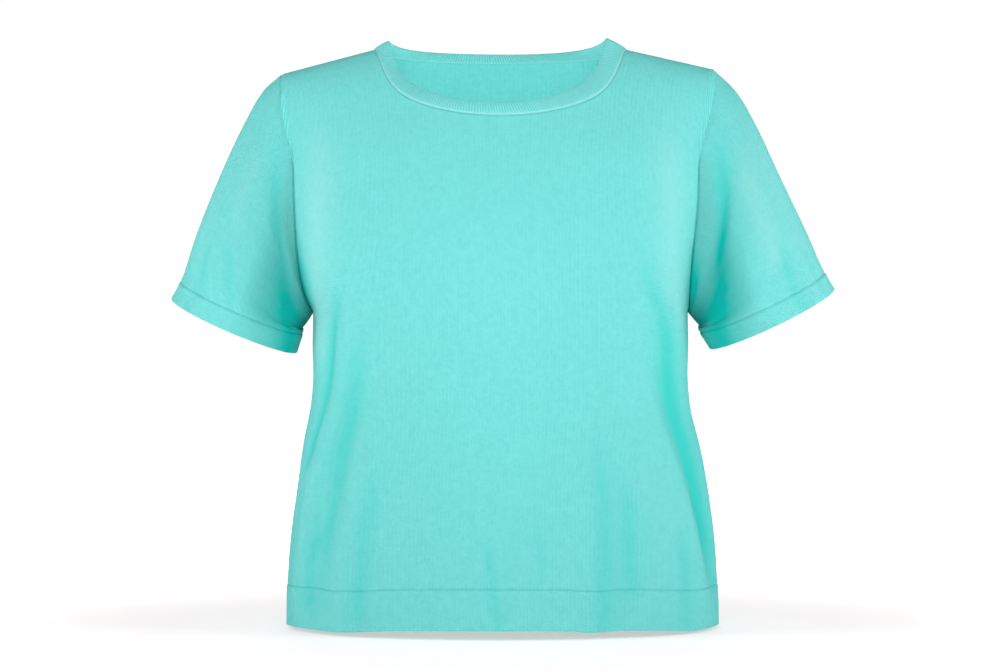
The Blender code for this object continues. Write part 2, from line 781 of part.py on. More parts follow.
# ---------------------------------------------------------------- the sweater
def cut_pieces():
    """All the pieces, as grids of places that meet at the seams."""
    sleeve_shares = [CUFF_SHARE * (1.0 - r / SLEEVE_ROWS) for r in range(SLEEVE_ROWS + 1)]
    body, folded = [], []
    for name, face in (("front", -1), ("back", 1)):
        body.append(Piece(name, "body", panel_grid(face), folds=BODY_FOLDS))
        folded.append(Piece(f"hem_{name}", "body", hem_grid(face), folds=BODY_FOLDS))
    for side in ("left", "right"):
        folds = SLEEVE_FOLDS[side]
        group = f"arm_{side}"
        body.append(Piece(f"sleeve_{side}", group, sleeve_grid(side, sleeve_shares), True, folds))
        cuff = sleeve_grid(side, (1.0, CUFF_SHARE))
        folded.append(Piece(f"cuff_{side}", group, cuff, True, folds))
    for piece in folded:
        piece.proud = PROUD
        piece.thick = FOLDED_KNIT
    band = Piece("neckband", "band", band_grid(), True)
    band.proud = PROUD
    band.thick = BAND_THICK
    band.clear = BAND_CLEAR
    return body, folded, band


def main():
    for thing in list(bpy.data.objects):
        bpy.data.objects.remove(thing)
    garment = bpy.data.collections.new(GARMENT)
    bpy.context.scene.collection.children.link(garment)
    single, folded, band = cut_pieces()
    everything = [*single, *folded, band]
    fold_pieces(everything)
    normals = shared_normals(everything)
    for piece in single:
        make_wall(piece, normals, fold_low=False)
    for piece in folded:
        make_wall(piece, normals, fold_low=True)
    make_neckband(band, normals)
    triangles = sum(sum(len(f.vertices) - 2 for f in o.data.polygons) for o in garment.objects)
    print(f"{len(garment.objects)} pieces, {triangles} triangles")


main()
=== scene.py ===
# %% [markdown]
# # A short-sleeved fine-knit sweater
#
# The real sweater is knitted in a fine jersey: a front and a back panel, two set-in sleeves, a
# ribbed neckband, and hems and cuffs folded double. It hangs here as if it were worn, but it is
# hollow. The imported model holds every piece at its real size, so this script loads it first, and
# each piece made below stands for one of its solids. Everything is in metres, with +Z up. The front
# faces -Y, and the wearer's left is +X.

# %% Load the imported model
import math
from typing import NamedTuple

import bmesh
import bpy
import numpy as np
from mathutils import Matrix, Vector


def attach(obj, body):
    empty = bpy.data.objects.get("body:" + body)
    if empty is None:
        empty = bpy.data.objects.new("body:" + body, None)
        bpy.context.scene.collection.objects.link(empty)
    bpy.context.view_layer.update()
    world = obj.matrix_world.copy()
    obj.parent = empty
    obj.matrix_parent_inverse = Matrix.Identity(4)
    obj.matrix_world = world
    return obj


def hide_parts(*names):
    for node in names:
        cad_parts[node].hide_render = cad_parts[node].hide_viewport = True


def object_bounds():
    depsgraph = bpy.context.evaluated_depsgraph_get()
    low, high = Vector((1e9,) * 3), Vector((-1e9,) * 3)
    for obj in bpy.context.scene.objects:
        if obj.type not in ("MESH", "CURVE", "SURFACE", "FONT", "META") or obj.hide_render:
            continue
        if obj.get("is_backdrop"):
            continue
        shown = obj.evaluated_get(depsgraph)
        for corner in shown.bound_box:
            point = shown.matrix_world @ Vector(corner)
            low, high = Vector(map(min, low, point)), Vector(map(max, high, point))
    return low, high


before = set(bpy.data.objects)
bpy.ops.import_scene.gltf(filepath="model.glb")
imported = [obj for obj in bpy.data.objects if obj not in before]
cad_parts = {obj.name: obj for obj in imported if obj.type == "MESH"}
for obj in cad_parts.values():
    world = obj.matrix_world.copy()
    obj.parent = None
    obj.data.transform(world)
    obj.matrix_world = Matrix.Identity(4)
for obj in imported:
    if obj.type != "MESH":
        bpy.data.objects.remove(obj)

bpy.context.view_layer.update()
solid_box = [list(corner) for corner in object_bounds()]
print("solids:", sorted(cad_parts))
print("box of the solids:", solid_box)

# %% [markdown]
# ## Camera
#
# A garment is photographed from a few metres away with a long lens, because a short lens would
# swell the chest. The camera is level with the middle of the body and looks along +Y. Its lens
# follows from how wide a stretch of the garment's own plane the picture takes in.

# %% Camera
PICTURE = (1008, 672)  # the picture's size in pixels
METRES_A_PIXEL = 0.00102  # at the plane of the side seams
CAMERA_AWAY = 3.0
CAMERA_X = 0.0036
CAMERA_Z = -0.2917
SENSOR = 36.0


def make_camera():
    """A level camera whose picture is as wide as it should be at the garment's plane."""
    lens = bpy.data.cameras.new("camera")
    lens.sensor_width = SENSOR
    lens.lens = SENSOR * CAMERA_AWAY / (PICTURE[0] * METRES_A_PIXEL)
    camera = bpy.data.objects.new("camera", lens)
    camera.location = (CAMERA_X, -CAMERA_AWAY, CAMERA_Z)
    camera.rotation_euler = (math.radians(90.0), 0.0, 0.0)
    bpy.context.scene.collection.objects.link(camera)
    bpy.context.scene.camera = camera
    return camera


camera = make_camera()
print(f"lens {camera.data.lens:.1f} mm")

# %% [markdown]
# ## The sizes of the sweater
#
# A worn knit is described by level sections: how wide the body is at a height, and how far it
# reaches forward and back from the plane of its side seams. A sleeve has sections too, from the
# armhole to the cuff. A short table with a row for each section is easy to correct, and a smooth
# curve through its rows gives every place between them.

# %% Sizes in metres
KNIT = 0.0015  # one layer of the knit
FOLDED_KNIT = 0.0026  # hem and cuffs are folded double
BAND_THICK = 0.0030
PROUD = 0.0005  # a folded edge stands out from the panel above it
SIDE_Y = 0.005  # the side and shoulder seams lie in this plane

HEM_DROP = 0.584
HEM_DEPTH = 0.040
HEM_RISE = 0.005  # the front hem hangs higher at the middle, over the stomach
ARMPIT_DROP = 0.266
ARMPIT_FREE = 0.06  # folds start this far from the armpit point
HALF_WIDTH = 0.20
CUFF_SHARE = 0.92  # the cuff takes the rest of the sleeve's length
CUFF_DIP = 0.006

BODY_LEAN = 0.0022  # the low body hangs this far towards the wearer's left
LEAN_DROPS = (0.36, 0.46)  # and gets there between these drops

NECK_HALF = 0.1300
NECK_DEPTHS = {-1: 0.0725, 1: 0.0085}  # drop of the neck seam at the middle, front and back
BAND_HALF = 0.1120
BAND_SHIFT = -0.0030  # the band's free edge lies a little towards the wearer's right
BAND_RISES = {"left": 0.0115, "right": 0.0088}
BAND_MIDDLES = {-1: (-0.0765, -0.0605), 1: (0.0600, -0.0005)}
NECK_ROUND_Y = 0.95
NECK_ROUND_Z = 0.83  # below 1 the neck is squarer than an ellipse
NECK_EASE = 4.0  # but its seam leaves the shoulders more gently
BAND_EASE = 1.3  # and so does the band's free edge
NECK_SPREAD = 1.25  # above 1 the panel's columns crowd towards the middle of the neck
NECK_SHARE = 0.519  # how far across a panel the neck ends and the shoulder starts
RIBS = 236

SQUARENESS = 0.87  # below 1 a section is a little squarer than an ellipse
NECK_RIDGE = 0.016  # how high the cloth's surface domes up across the neck
SHOULDER_TURN = 52.0  # how far a chest section turns each way at the shoulders, in degrees
BEND_SHARE = 0.20  # share of a sleeve over which its armhole's bends die away
TOP_EASE = 0.11  # over this height a panel's columns pass from its arcs to its top edge
SEAM_SWING = {"left": 10.0, "right": 18.0}  # degrees the side seams swing forward by the hem
ARMHOLE_CLIMB = 0.85  # below 1 its points are closer by the shoulder than by the armpit
WIDEST = 0.5 ** (1.0 / ARMHOLE_CLIMB)  # how far up an armhole its widest level lies


def table(kind, rows):
    """Named rows from plain ones, for the whole sweater or for each of its sides."""
    if isinstance(rows, dict):
        return {side: table(kind, part) for side, part in rows.items()}
    return [kind(*row) for row in rows]


class Section(NamedTuple):
    """One level of the body."""

    drop: float
    half: float
    front: float
    back: float


BODY = table(Section, [
    (-0.010, 0.2200, 0.048, 0.054),
    (0.012, 0.2200, 0.062, 0.074),
    (0.072, 0.2120, 0.089, 0.100),
    (0.120, 0.2050, 0.114, 0.115),
    (0.180, 0.1980, 0.139, 0.121),
    (0.230, 0.1940, 0.150, 0.118),
    (0.266, 0.1910, 0.152, 0.115),
    (0.300, 0.1913, 0.151, 0.111),
    (0.335, 0.1907, 0.148, 0.108),
    (0.365, 0.1935, 0.146, 0.109),
    (0.402, 0.2018, 0.145, 0.113),
    (0.450, 0.2098, 0.145, 0.120),
    (0.500, 0.2163, 0.146, 0.126),
    (0.546, 0.2193, 0.146, 0.130),
    (0.590, 0.2200, 0.145, 0.132),
])


class ArmSection(NamedTuple):
    """One level of a sleeve: its outer and inner lines, and its depth either way."""

    share: float
    outer_x: float
    outer_z: float
    inner_x: float
    inner_z: float
    front: float
    back: float


SLEEVES = table(ArmSection, {
    "left": [
        (0.00, 0.2178, -0.0200, 0.1910, -0.2660, 0.060, 0.062),
        (0.10, 0.2385, -0.0395, 0.1930, -0.2690, 0.065, 0.067),
        (0.26, 0.2590, -0.0735, 0.1965, -0.2735, 0.068, 0.069),
        (0.50, 0.2850, -0.1290, 0.2005, -0.2780, 0.067, 0.068),
        (0.75, 0.3125, -0.1865, 0.2035, -0.2820, 0.065, 0.066),
        (0.92, 0.3305, -0.2265, 0.2040, -0.2880, 0.063, 0.063),
        (1.00, 0.3405, -0.2435, 0.2145, -0.3050, 0.062, 0.062),
    ],
    "right": [
        (0.00, 0.2225, -0.0245, 0.1910, -0.2660, 0.060, 0.062),
        (0.10, 0.2405, -0.0400, 0.1925, -0.2695, 0.065, 0.067),
        (0.26, 0.2605, -0.0735, 0.1955, -0.2745, 0.068, 0.069),
        (0.50, 0.2875, -0.1320, 0.1995, -0.2800, 0.067, 0.068),
        (0.75, 0.3105, -0.1900, 0.2030, -0.2850, 0.065, 0.066),
        (0.92, 0.3260, -0.2355, 0.2025, -0.2895, 0.063, 0.063),
        (1.00, 0.3355, -0.2535, 0.2085, -0.3090, 0.062, 0.062),
    ],
})


class Bend(NamedTuple):
    """How far an armhole bends outwards at a turn round it, from a plain oval."""

    turn: float
    out: float


BENDS = table(Bend, {
    "left": [
        (0, 0.0), (38, -0.0066), (54, -0.0098), (72, -0.0092), (99, -0.0048),
        (125, -0.0042), (145, -0.0024), (165, -0.0004), (180, 0.0),
    ],
    "right": [
        (0, 0.0), (30, 0.0020), (52, -0.0016), (72, -0.0034), (99, 0.0022),
        (125, 0.0060), (145, 0.0054), (165, 0.0014), (180, 0.0),
    ],
})
print(f"{len(BODY)} body sections, {len(SLEEVES['left'])} sections on each sleeve")

# %% [markdown]
# ## Reading the tables
#
# The tables are read for whole arrays of points at once. The curve through the rows is a cubic
# whose slope at each row is the mean of the slopes beside it, so a straight stretch stays straight.

# %% Smooth steps and smooth curves
TINY = 1e-9  # a margin for rounding


def smooth(x):
    """0 below 0, 1 above 1, and an even slope between."""
    x = np.clip(x, 0.0, 1.0)
    return x * x * (3.0 - 2.0 * x)


def read(table, column, where):
    """The values of a column at places on the table's first column, on a smooth curve."""
    places = np.array([row[0] for row in table])
    values = np.array([getattr(row, column) for row in table])
    where = np.clip(where, places[0], places[-1])
    steps = np.diff(places)
    slopes = np.diff(values) / steps
    ends = np.concatenate([slopes[:1], (slopes[:-1] + slopes[1:]) / 2, slopes[-1:]])
    k = np.clip(np.searchsorted(places, where, side="right") - 1, 0, len(steps) - 1)
    t = (where - places[k]) / steps[k]
    return (
        (1 + 2 * t) * (1 - t) ** 2 * values[k]
        + t * t * (3 - 2 * t) * values[k + 1]
        + t * (1 - t) ** 2 * ends[k] * steps[k]
        - t * t * (1 - t) * ends[k + 1] * steps[k]
    )


def turn_between(a, b):
    """The signed turn from b to a, at most half a circle."""
    return (a - b + 180.0) % 360.0 - 180.0


def together(x, y, z):
    """One array of points from the arrays of their coordinates."""
    return np.stack(np.broadcast_arrays(x, y, z), axis=-1)


print("half width 0.25 m below the neck:", round(float(read(BODY, "half", 0.25)), 4))

# %% [markdown]
# ## The sleeve's form and the armhole
#
# A set-in sleeve is sewn up under the arm and then into the armhole. Worn, it is a tube that leans
# out and down. Its points are placed by a share of its length and by degrees round it, and its
# first ring is the armhole seam. The body panels read that same ring, so the pieces meet.


# %% A sleeve's points
def arm_point(side, share, degrees):
    """Points of a sleeve: 0 degrees is its outer line, -90 its front and 90 its back."""
    rows = SLEEVES[side]
    columns = ("outer_x", "outer_z", "inner_x", "inner_z", "front", "back")
    outer_x, outer_z, inner_x, inner_z, front, back = (read(rows, c, share) for c in columns)
    angle = np.radians(degrees)
    outward = (1.0 + np.cos(angle)) / 2.0
    length = np.hypot(outer_x - inner_x, outer_z - inner_z)
    dip = CUFF_DIP * smooth(share) * np.sin(angle) / length
    x = inner_x + (outer_x - inner_x) * outward - (outer_z - inner_z) * dip
    z = inner_z + (outer_z - inner_z) * outward - (inner_x - outer_x) * dip
    y = SIDE_Y + np.where(angle > 0, back, front) * np.sin(angle)
    bend = read(BENDS[side], "out", np.abs(degrees))
    x = x + bend * (1.0 - smooth(share / BEND_SHARE))
    return together(x if side == "left" else -x, y, z)


def armhole(side, face, t):
    """The armhole seam from the armpit, t = 0, to the shoulder, t = 1. face is -1 in front."""
    return arm_point(side, 0.0, face * 180.0 * (1.0 - np.asarray(t) ** ARMHOLE_CLIMB))


CLIMB = np.linspace(0.0, 1.0, 2001)


def level_on_armhole(side, face, z):
    """How far up the armhole a height lies, read from a fine run of its points."""
    return np.interp(z, armhole(side, face, CLIMB)[:, 2], CLIMB)


print("shoulder point:", armhole("left", -1, 1.0).round(4))

# %% [markdown]
# ## The body's form
#
# Below the armpits the body is one closed ring at every height, a little squarer than an ellipse.
# Above them each panel is an arc between two armholes that rolls over the shoulder. Height and
# sideways place say how far forward the cloth lies, so the neckline is a curve on that surface.


# %% The body below the armpits
def by_side(u, values):
    """A value for each place, from the sweater's two sides."""
    return np.where(np.asarray(u) >= 0, values["left"], values["right"])


def ring_turn(u, face, drop):
    """Degrees round the body at u, with the side seams swung forward towards the hem."""
    swing = by_side(u, SEAM_SWING) * smooth((drop - ARMPIT_DROP) / (HEM_DROP - ARMPIT_DROP))
    if face < 0:
        return u * (90.0 - swing)
    return np.copysign(180.0, u) - u * (90.0 + swing)


def ring_point(turn, z):
    """Points of the closed body sections, below the armpits."""
    angle = np.radians(turn)
    forward = np.cos(angle)
    depth = np.where(forward > 0, read(BODY, "front", -z), read(BODY, "back", -z))
    y = SIDE_Y - np.sign(forward) * depth * np.abs(forward) ** SQUARENESS
    lean = BODY_LEAN * smooth((-z - LEAN_DROPS[0]) / (LEAN_DROPS[1] - LEAN_DROPS[0]))
    return together(read(BODY, "half", -z) * np.sin(angle) + lean, y, z)


# %% The body between the armholes
def chest_arc(side, face, z):
    """A section between the armholes: its turn each way, its ends' x and y, its middle's y."""
    column = "front" if face < 0 else "back"
    widest = armhole(side, face, WIDEST)
    shoulder = armhole(side, face, 1.0)
    low = np.minimum(z, widest[2])
    end_y = armhole(side, face, level_on_armhole(side, face, low))[..., 1]
    depth = read(BODY, column, -low)
    turn = np.arccos((np.abs(end_y - SIDE_Y) / depth) ** (1.0 / SQUARENESS))
    share = smooth((z - widest[2]) / (shoulder[2] - widest[2]))
    turn = turn + (math.radians(SHOULDER_TURN) - turn) * share
    end_x = armhole(side, face, level_on_armhole(side, face, np.minimum(z, shoulder[2])))[..., 0]
    return turn, np.abs(end_x), end_y, SIDE_Y + face * read(BODY, column, -z)


def arc_share(angle, turn):
    """1 in the middle of an arc that turns this far each way, and 0 at its end."""
    end = np.maximum(0.0, np.cos(turn)) ** SQUARENESS
    return (np.maximum(0.0, np.cos(angle)) ** SQUARENESS - end) / (1.0 - end)


def cloth_y_on(side, x, z, face):
    """How far forward or back the cloth lies above the armpits, on one side."""
    turn, end_x, end_y, middle = chest_arc(side, face, z)
    angle = np.arcsin(np.minimum(1.0, np.abs(x) * np.sin(turn) / end_x))
    chest = end_y + (middle - end_y) * arc_share(np.minimum(angle, turn), turn)
    shoulder = armhole(side, face, 1.0)
    slope = shoulder[2] / (abs(shoulder[0]) - NECK_HALF)
    inside = 1.0 - (x / NECK_HALF) ** 2
    dome = NECK_RIDGE * inside**2 - slope * NECK_HALF / 2.0 * inside
    ridge = np.where(np.abs(x) >= NECK_HALF, slope * (np.abs(x) - NECK_HALF), dome)
    fall = shoulder[2] - armhole(side, face, WIDEST)[2]
    roll = np.sqrt(1.0 - (1.0 - np.clip((ridge - z) / fall, 0.0, 1.0)) ** 2)
    return SIDE_Y + (chest - SIDE_Y) * roll


def cloth_y(x, z, face):
    """How far forward or back the cloth lies above the armpits, passing from side to side."""
    right, left = (cloth_y_on(side, x, z, face) for side in ("right", "left"))
    return right + (left - right) * smooth((x / NECK_HALF + 1.0) / 2.0)


# %% The neckline and the shoulders
def neck_turn(u):
    """The turn round the neck at u: 0 in the middle and 90 degrees at a shoulder seam."""
    share = np.minimum(1.0, np.abs(u) / NECK_SHARE)
    return np.radians(np.copysign(90.0 * share**NECK_SPREAD, u))


def neck_height(turn, rise, middle, ease):
    """Height of a line round the neck, from its rise at the shoulder seams."""
    forward = np.maximum(0.0, np.cos(turn))
    forward = np.where(forward < TINY, 0.0, forward)
    power = NECK_ROUND_Z + ease * (1.0 - forward) ** 4
    return rise + (middle - rise) * forward**power


def top_edge(u, face):
    """The upper edge of a panel: the shoulder seams and the neck between them."""
    u = np.asarray(u, dtype=float)
    x = NECK_HALF * np.sin(neck_turn(u))
    z = neck_height(neck_turn(u), 0.0, -NECK_DEPTHS[face], NECK_EASE)
    neck = together(x, np.where(np.abs(u) < NECK_SHARE, cloth_y(x, z, face), SIDE_Y), z)
    past = np.clip((np.abs(u) - NECK_SHARE) / (1.0 - NECK_SHARE), 0.0, 1.0)[..., None]
    left, right = armhole("left", face, 1.0), armhole("right", face, 1.0)
    return neck + (np.where(u[..., None] >= 0, left, right) - neck) * past


print("front neckline at the middle:", top_edge(0.0, -1).round(4))

# %% [markdown]
# ## Folds
#
# Cloth that narrows under the arms and hangs free falls into long soft folds from the bust and the
# armpits to the hem. The place of each matters, so they are listed one by one: each is a line on the
# cloth, with a width and a height, that grows and dies away along its length. The first table of
# each kind has the large folds that the solids have too, and the fine one has small creases. The
# tables of painted shading are lines of the same kind whose height says how much shade is painted
# into the yarn there, or how much highlight is painted, if it is negative. The folds' troughs get
# painted shade as well.


# %% The tables of folds and of painted shading
class Fold(NamedTuple):
    """A soft fold. A negative height is a trough.

    On the body a turn is in degrees round it, 0 in front and 90 at the wearer's left, and along is
    the drop below the neck. On a sleeve 0 is the outer line, -90 its front and 90 its back, and
    along is a share of its length.
    """

    turn_top: float
    along_top: float
    turn_low: float
    along_low: float
    width: float
    height: float


BODY_FOLDS = table(Fold, [
    (-62, 0.24, -68, 0.43, 5.5, -0.0035),
    (-47, 0.29, -62, 0.59, 7, -0.0068),
    (-64, 0.32, -70, 0.53, 5.5, 0.003),
    (-39, 0.32, -46, 0.61, 6, 0.003),
    (-39, 0.49, -38.5, 0.59, 3.5, -0.0018),
    (49, 0.25, 80, 0.57, 7, -0.0066),
    (46, 0.28, 68, 0.58, 6, 0.0035),
    (34, 0.37, 31, 0.64, 4.5, -0.0028),
    (38.5, 0.45, 37.5, 0.54, 4.5, -0.0018),
    (25, 0.39, 23.5, 0.64, 4, 0.0015),
    (128, 0.27, 106, 0.57, 8, -0.006),
    (140, 0.33, 128, 0.6, 7, 0.003),
    (168, 0.35, 170, 0.61, 6.5, -0.0025),
    (-126, 0.26, -107, 0.56, 7.5, -0.0064),
    (-139, 0.33, -131, 0.6, 6.5, 0.0032),
    (-163, 0.3, -158, 0.6, 6, -0.0024),
])
FINE_BODY_FOLDS = table(Fold, [
    (53, 0.18, 77.5, 0.54, 5, -0.0019),
    (-57, 0.225, -74, 0.44, 2.8, -0.0019),
    (-45, 0.26, -60, 0.53, 4.6, -0.0011),
    (-37, 0.4, -41, 0.59, 2.8, -0.0009),
    (-60, 0.47, -64, 0.57, 3.2, -0.001),
    (-51, 0.235, -53, 0.3, 2.6, 0.0012),
    (-56, 0.4, -61.5, 0.56, 2.2, 0.001),
    (-33, 0.52, -35, 0.6, 1.8, 0.0007),
    (-4.5, 0.48, -0.5, 0.585, 1.6, -0.0009),
    (-1.5, 0.5, 1.5, 0.59, 1.5, 0.0006),
    (9, 0.47, 10.5, 0.53, 1.6, -0.0005),
    (28.5, 0.37, 26.5, 0.6, 2.6, -0.001),
    (36, 0.42, 35.5, 0.56, 2.6, -0.0008),
    (48, 0.46, 49, 0.56, 2.4, 0.0012),
    (55, 0.47, 56.5, 0.59, 3.2, -0.0009),
    (150, 0.42, 147, 0.6, 2.4, -0.001),
    (126, 0.28, 108, 0.54, 3.4, -0.002),
    (-124, 0.27, -109, 0.53, 3.2, -0.002),
    (-149, 0.45, -146, 0.6, 2.2, -0.001),
    (178, 0.46, 176, 0.6, 2.2, 0.0008),
])
SLEEVE_FOLDS = table(Fold, {
    "left": [
        (-122, 0.05, -132, 0.97, 18, -0.0046),
        (-94, 0.2, -100, 0.97, 14, 0.0024),
        (-62, 0.62, -56, 1.04, 9, -0.0018),
        (118, 0.08, 126, 1.04, 18, -0.0065),
        (72, 0.45, 66, 1.04, 12, -0.002),
    ],
    "right": [
        (-118, 0.05, -128, 0.97, 19, -0.0044),
        (-92, 0.22, -96, 0.97, 14, 0.002),
        (-44, 0.6, -46, 1.04, 9, -0.0018),
        (120, 0.08, 124, 1.04, 18, -0.0068),
        (66, 0.5, 70, 1.04, 12, -0.002),
    ],
})
FINE_SLEEVE_FOLDS = table(Fold, {
    "left": [
        (-62, 0.06, -118, 0.34, 11, -0.001),
        (-102, 0.16, -134, 0.6, 12, -0.001),
        (-128, 0.3, -150, 1.25, 13, -0.001),
        (-66, 0.24, -106, 0.76, 9, 0.001),
        (-60, 0.62, -68, 1.02, 5, -0.0007),
        (-38, 0.7, -34, 1.02, 5, -0.0005),
        (94, 0.4, 98, 1.0, 6, 0.001),
        (112, 0.12, 138, 1.2, 9, -0.0015),
    ],
    "right": [
        (-72, 0.06, -104, 0.3, 12, -0.0007),
        (-116, 0.2, -146, 0.6, 12, -0.0008),
        (-138, 0.3, -158, 1.25, 12, -0.001),
        (-72, 0.3, -96, 0.7, 8, 0.0008),
        (-66, 0.56, -86, 0.9, 5, -0.0007),
        (-42, 0.7, -56, 0.94, 5, -0.0006),
        (92, 0.45, 90, 1.0, 6, 0.001),
        (116, 0.12, 140, 1.2, 9, -0.0015),
    ],
})
# Painted shading on the sleeves: a positive height paints shade into the yarn, a negative one a
# highlight.
SLEEVE_PAINTED_SHADING = table(Fold, {
    "left": [
        (-62, 0.02, -110, 0.3, 18, 0.3),
        (-95, 0.1, -136, 0.62, 18, 0.36),
        (-130, 0.34, -154, 1.45, 20, 0.56),
        (-104, 0.2, -116, 0.9, 22, 0.12),
        (-142, -0.4, -156, 0.16, 22, 1.6),
        (-164, 0.05, -174, 1.4, 22, 0.45),
        (-148, -0.35, -160, 0.8, 28, 0.5),
        (-58, 0.1, -72, 0.8, 13, -0.2),
        (-24, 0.05, -34, 1.1, 20, -0.12),
        (112, 0.12, 138, 1.2, 14, 0.45),
    ],
    "right": [
        (-64, 0.03, -104, 0.28, 15, 0.16),
        (-96, 0.12, -140, 0.6, 18, 0.22),
        (-132, 0.24, -156, 1.45, 20, 0.52),
        (-108, 0.16, -124, 1.0, 24, 0.14),
        (-160, 0.0, -170, 1.4, 20, 0.4),
        (-148, -0.35, -162, 0.8, 26, 0.4),
        (-50, 0.15, -66, 0.55, 8, -0.1),
        (-20, 0.1, -30, 0.9, 14, -0.08),
        (116, 0.12, 140, 1.2, 14, 0.45),
    ],
})
# Painted shading on the body: the two negative rows are painted highlights at either side of the
# chest, the last row painted shade.
BODY_PAINTED_SHADING = table(Fold, [
    (-72, 0.05, -74, 0.34, 9, -0.24),
    (70, 0.05, 72, 0.3, 9, -0.2),
    (60, 0.24, 86, 0.6, 11, 0.14),
])
BODY_SET = (BODY_FOLDS, FINE_BODY_FOLDS, BODY_PAINTED_SHADING)
FOLD_START = 0.35  # a fold grows over this share of its length
FOLD_END = 0.15  # and dies away over this one
FINE_SHADE = 0.0036  # depth of a fine trough at which its painted shade is darkest
LARGE_SHADE = 0.0450  # and of a large one


class Dip(NamedTuple):
    """A place round the hem where it hangs a little lower."""

    turn: float
    width: float
    depth: float


HEM_DIPS = table(Dip, [
    (-46, 12, 0.0022),
    (24, 6, 0.0015),
    (58, 12, 0.0022),
    (140, 14, 0.002),
    (-150, 14, 0.002),
])


def fold_height(folds, turn, along):
    """How far the cloth stands out or in at each place from all the folds of its piece, or, from a
    table of painted shading, the shade painted there, negative for a painted highlight.
    """
    total = np.zeros(np.broadcast_shapes(turn.shape, along.shape))
    for fold in folds:
        s = (along - fold.along_top) / (fold.along_low - fold.along_top)
        line = fold.turn_top + (fold.turn_low - fold.turn_top) * s
        fade = np.minimum(smooth(s / FOLD_START), smooth((1.0 - s) / FOLD_END))
        aside = turn_between(turn, line) / fold.width
        total += fold.height * fade * np.exp(-aside * aside)
    return total


def hem_level(turn):
    """Height of the hem's edge at a turn round the body."""
    rise = HEM_RISE * np.maximum(0.0, np.cos(np.radians(turn))) ** 2
    dips = sum(d.depth * np.exp(-((turn_between(turn, d.turn) / d.width) ** 2)) for d in HEM_DIPS)
    return -HEM_DROP + rise - dips


print(len(BODY_FOLDS) + len(FINE_BODY_FOLDS), "folds on the body")

# %% [markdown]
# ## Cutting the cloth
#
# Every real piece is knitted flat and then sewn. Here each starts flat too, as a grid from bmesh,
# whose columns run up like its wales and whose rows run across like its courses. Each point is then
# carried to its place on the worn form. The rows crowd towards the seams, where the cloth dips.

# %% How finely each piece is divided
NECK_COLUMNS = 42  # from the middle of a panel to the end of the neck
SHOULDER_COLUMNS = 40  # from there to the armhole
LOW_ROWS = 60  # hem seam to armpit
TOP_ROWS = 62  # armpit to shoulder
SLEEVE_ROWS = 50
HEM_ROWS = 14
CUFF_ROWS = 9
JOIN_ROWS = 5.0  # how far from the armpit level its crease is rounded, in rows
JOIN_PASSES = 24  # and how many times
NEAR_SEAM = (0.0027, 0.0058, 0.0100)  # extra rows by a seam, as shares of the piece
HEM_NEAR, CUFF_NEAR = 8, 12  # how many times larger those shares are of a hem or a cuff
SLEEVE_FREE = 0.12  # a sleeve's folds start within this share of it
PANELS = {"front": -1, "back": 1}


def shares(count, start=(), end=()):
    """Even shares from 0 to 1 with extra ones near either end."""
    even = [k / count for k in range(count + 1)]
    return np.array(sorted([*even, *start, *(1.0 - e for e in end)]))


half = shares(NECK_COLUMNS)[:-1] * NECK_SHARE
outer = NECK_SHARE + shares(SHOULDER_COLUMNS) * (1.0 - NECK_SHARE)
half_columns = np.array(sorted([*half, *outer, *(1.0 - e for e in NEAR_SEAM)]))
panel_columns = np.concatenate([-half_columns[:0:-1], half_columns])
COLUMNS = {-1: panel_columns, 1: panel_columns[::-1]}  # so that both face outwards
LOW_SHARES = shares(LOW_ROWS, start=NEAR_SEAM)
TOP_SHARES = shares(TOP_ROWS)
print(len(panel_columns), "columns and", len(LOW_SHARES) + len(TOP_SHARES) - 1, "rows on a panel")


# %% A cut piece
class Piece:
    """One cut piece: its grid of points, and where each lies round and along the piece."""

    def __init__(self, name, group, points, turn, along, free, folds=((), (), ())):
        shape = points.shape[:2]
        self.name, self.group = name, group
        self.points = self.plain = points  # plain is kept from before the folds
        self.turn, self.along, self.free = (np.broadcast_to(a, shape) for a in (turn, along, free))
        self.large, self.fine, self.painted_shadings = folds
        self.shade = np.zeros(shape)
        self.folded = name.startswith(("hem", "cuff"))
        self.proud = PROUD if self.folded else 0.0
        self.thick = FOLDED_KNIT if self.folded else KNIT


# %% Front and back
def low_part(face, u):
    """The panel from its hem seam up to the armpit level."""
    foot = hem_level(ring_turn(u, face, HEM_DROP)) + HEM_DEPTH
    z = foot + (-ARMPIT_DROP - foot) * LOW_SHARES[:, None]
    turn = ring_turn(u, face, -z)
    from_armpit = np.hypot(z + ARMPIT_DROP, HALF_WIDTH * (1.0 - np.abs(u)))
    return ring_point(turn, z), turn, -z, smooth(from_armpit / ARMPIT_FREE)


def top_part(face, u):
    """The panel from the armpit level up to the shoulder seams and the neck."""
    t = TOP_SHARES[:, None]
    left, right = armhole("left", face, t), armhole("right", face, t)
    edge = np.where(u[None, :, None] >= 0, left, right)
    shoulder = by_side(u, {side: armhole(side, face, 1.0)[2] for side in SLEEVES})
    top = np.broadcast_to(top_edge(u, face), edge.shape)
    lift = (edge[..., 2] + ARMPIT_DROP) / (shoulder + ARMPIT_DROP)
    z = -ARMPIT_DROP + (top[..., 2] + ARMPIT_DROP) * lift
    arcs = {side: chest_arc(side, face, z) for side in SLEEVES}
    arc, end_x = (by_side(np.broadcast_to(u, z.shape), {s: arcs[s][k] for s in arcs}) for k in (0, 1))
    x = np.copysign(end_x * np.sin(np.abs(u) * arc) / np.sin(arc), u)
    x = top[..., 0] + (x - top[..., 0]) * smooth((top[..., 2] - z) / TOP_EASE)
    points = together(x, cloth_y(x, z, face), z)
    points[:, [0, -1]] = edge[:, [0, -1]]
    points[-1] = top[-1]
    free = smooth(HALF_WIDTH * (1.0 - np.abs(u)) / ARMPIT_FREE)
    free = free * smooth((top[..., 2] - z) / ARMPIT_FREE)
    turn = np.broadcast_to(ring_turn(u, face, ARMPIT_DROP), z.shape)
    return points, turn, -z, free


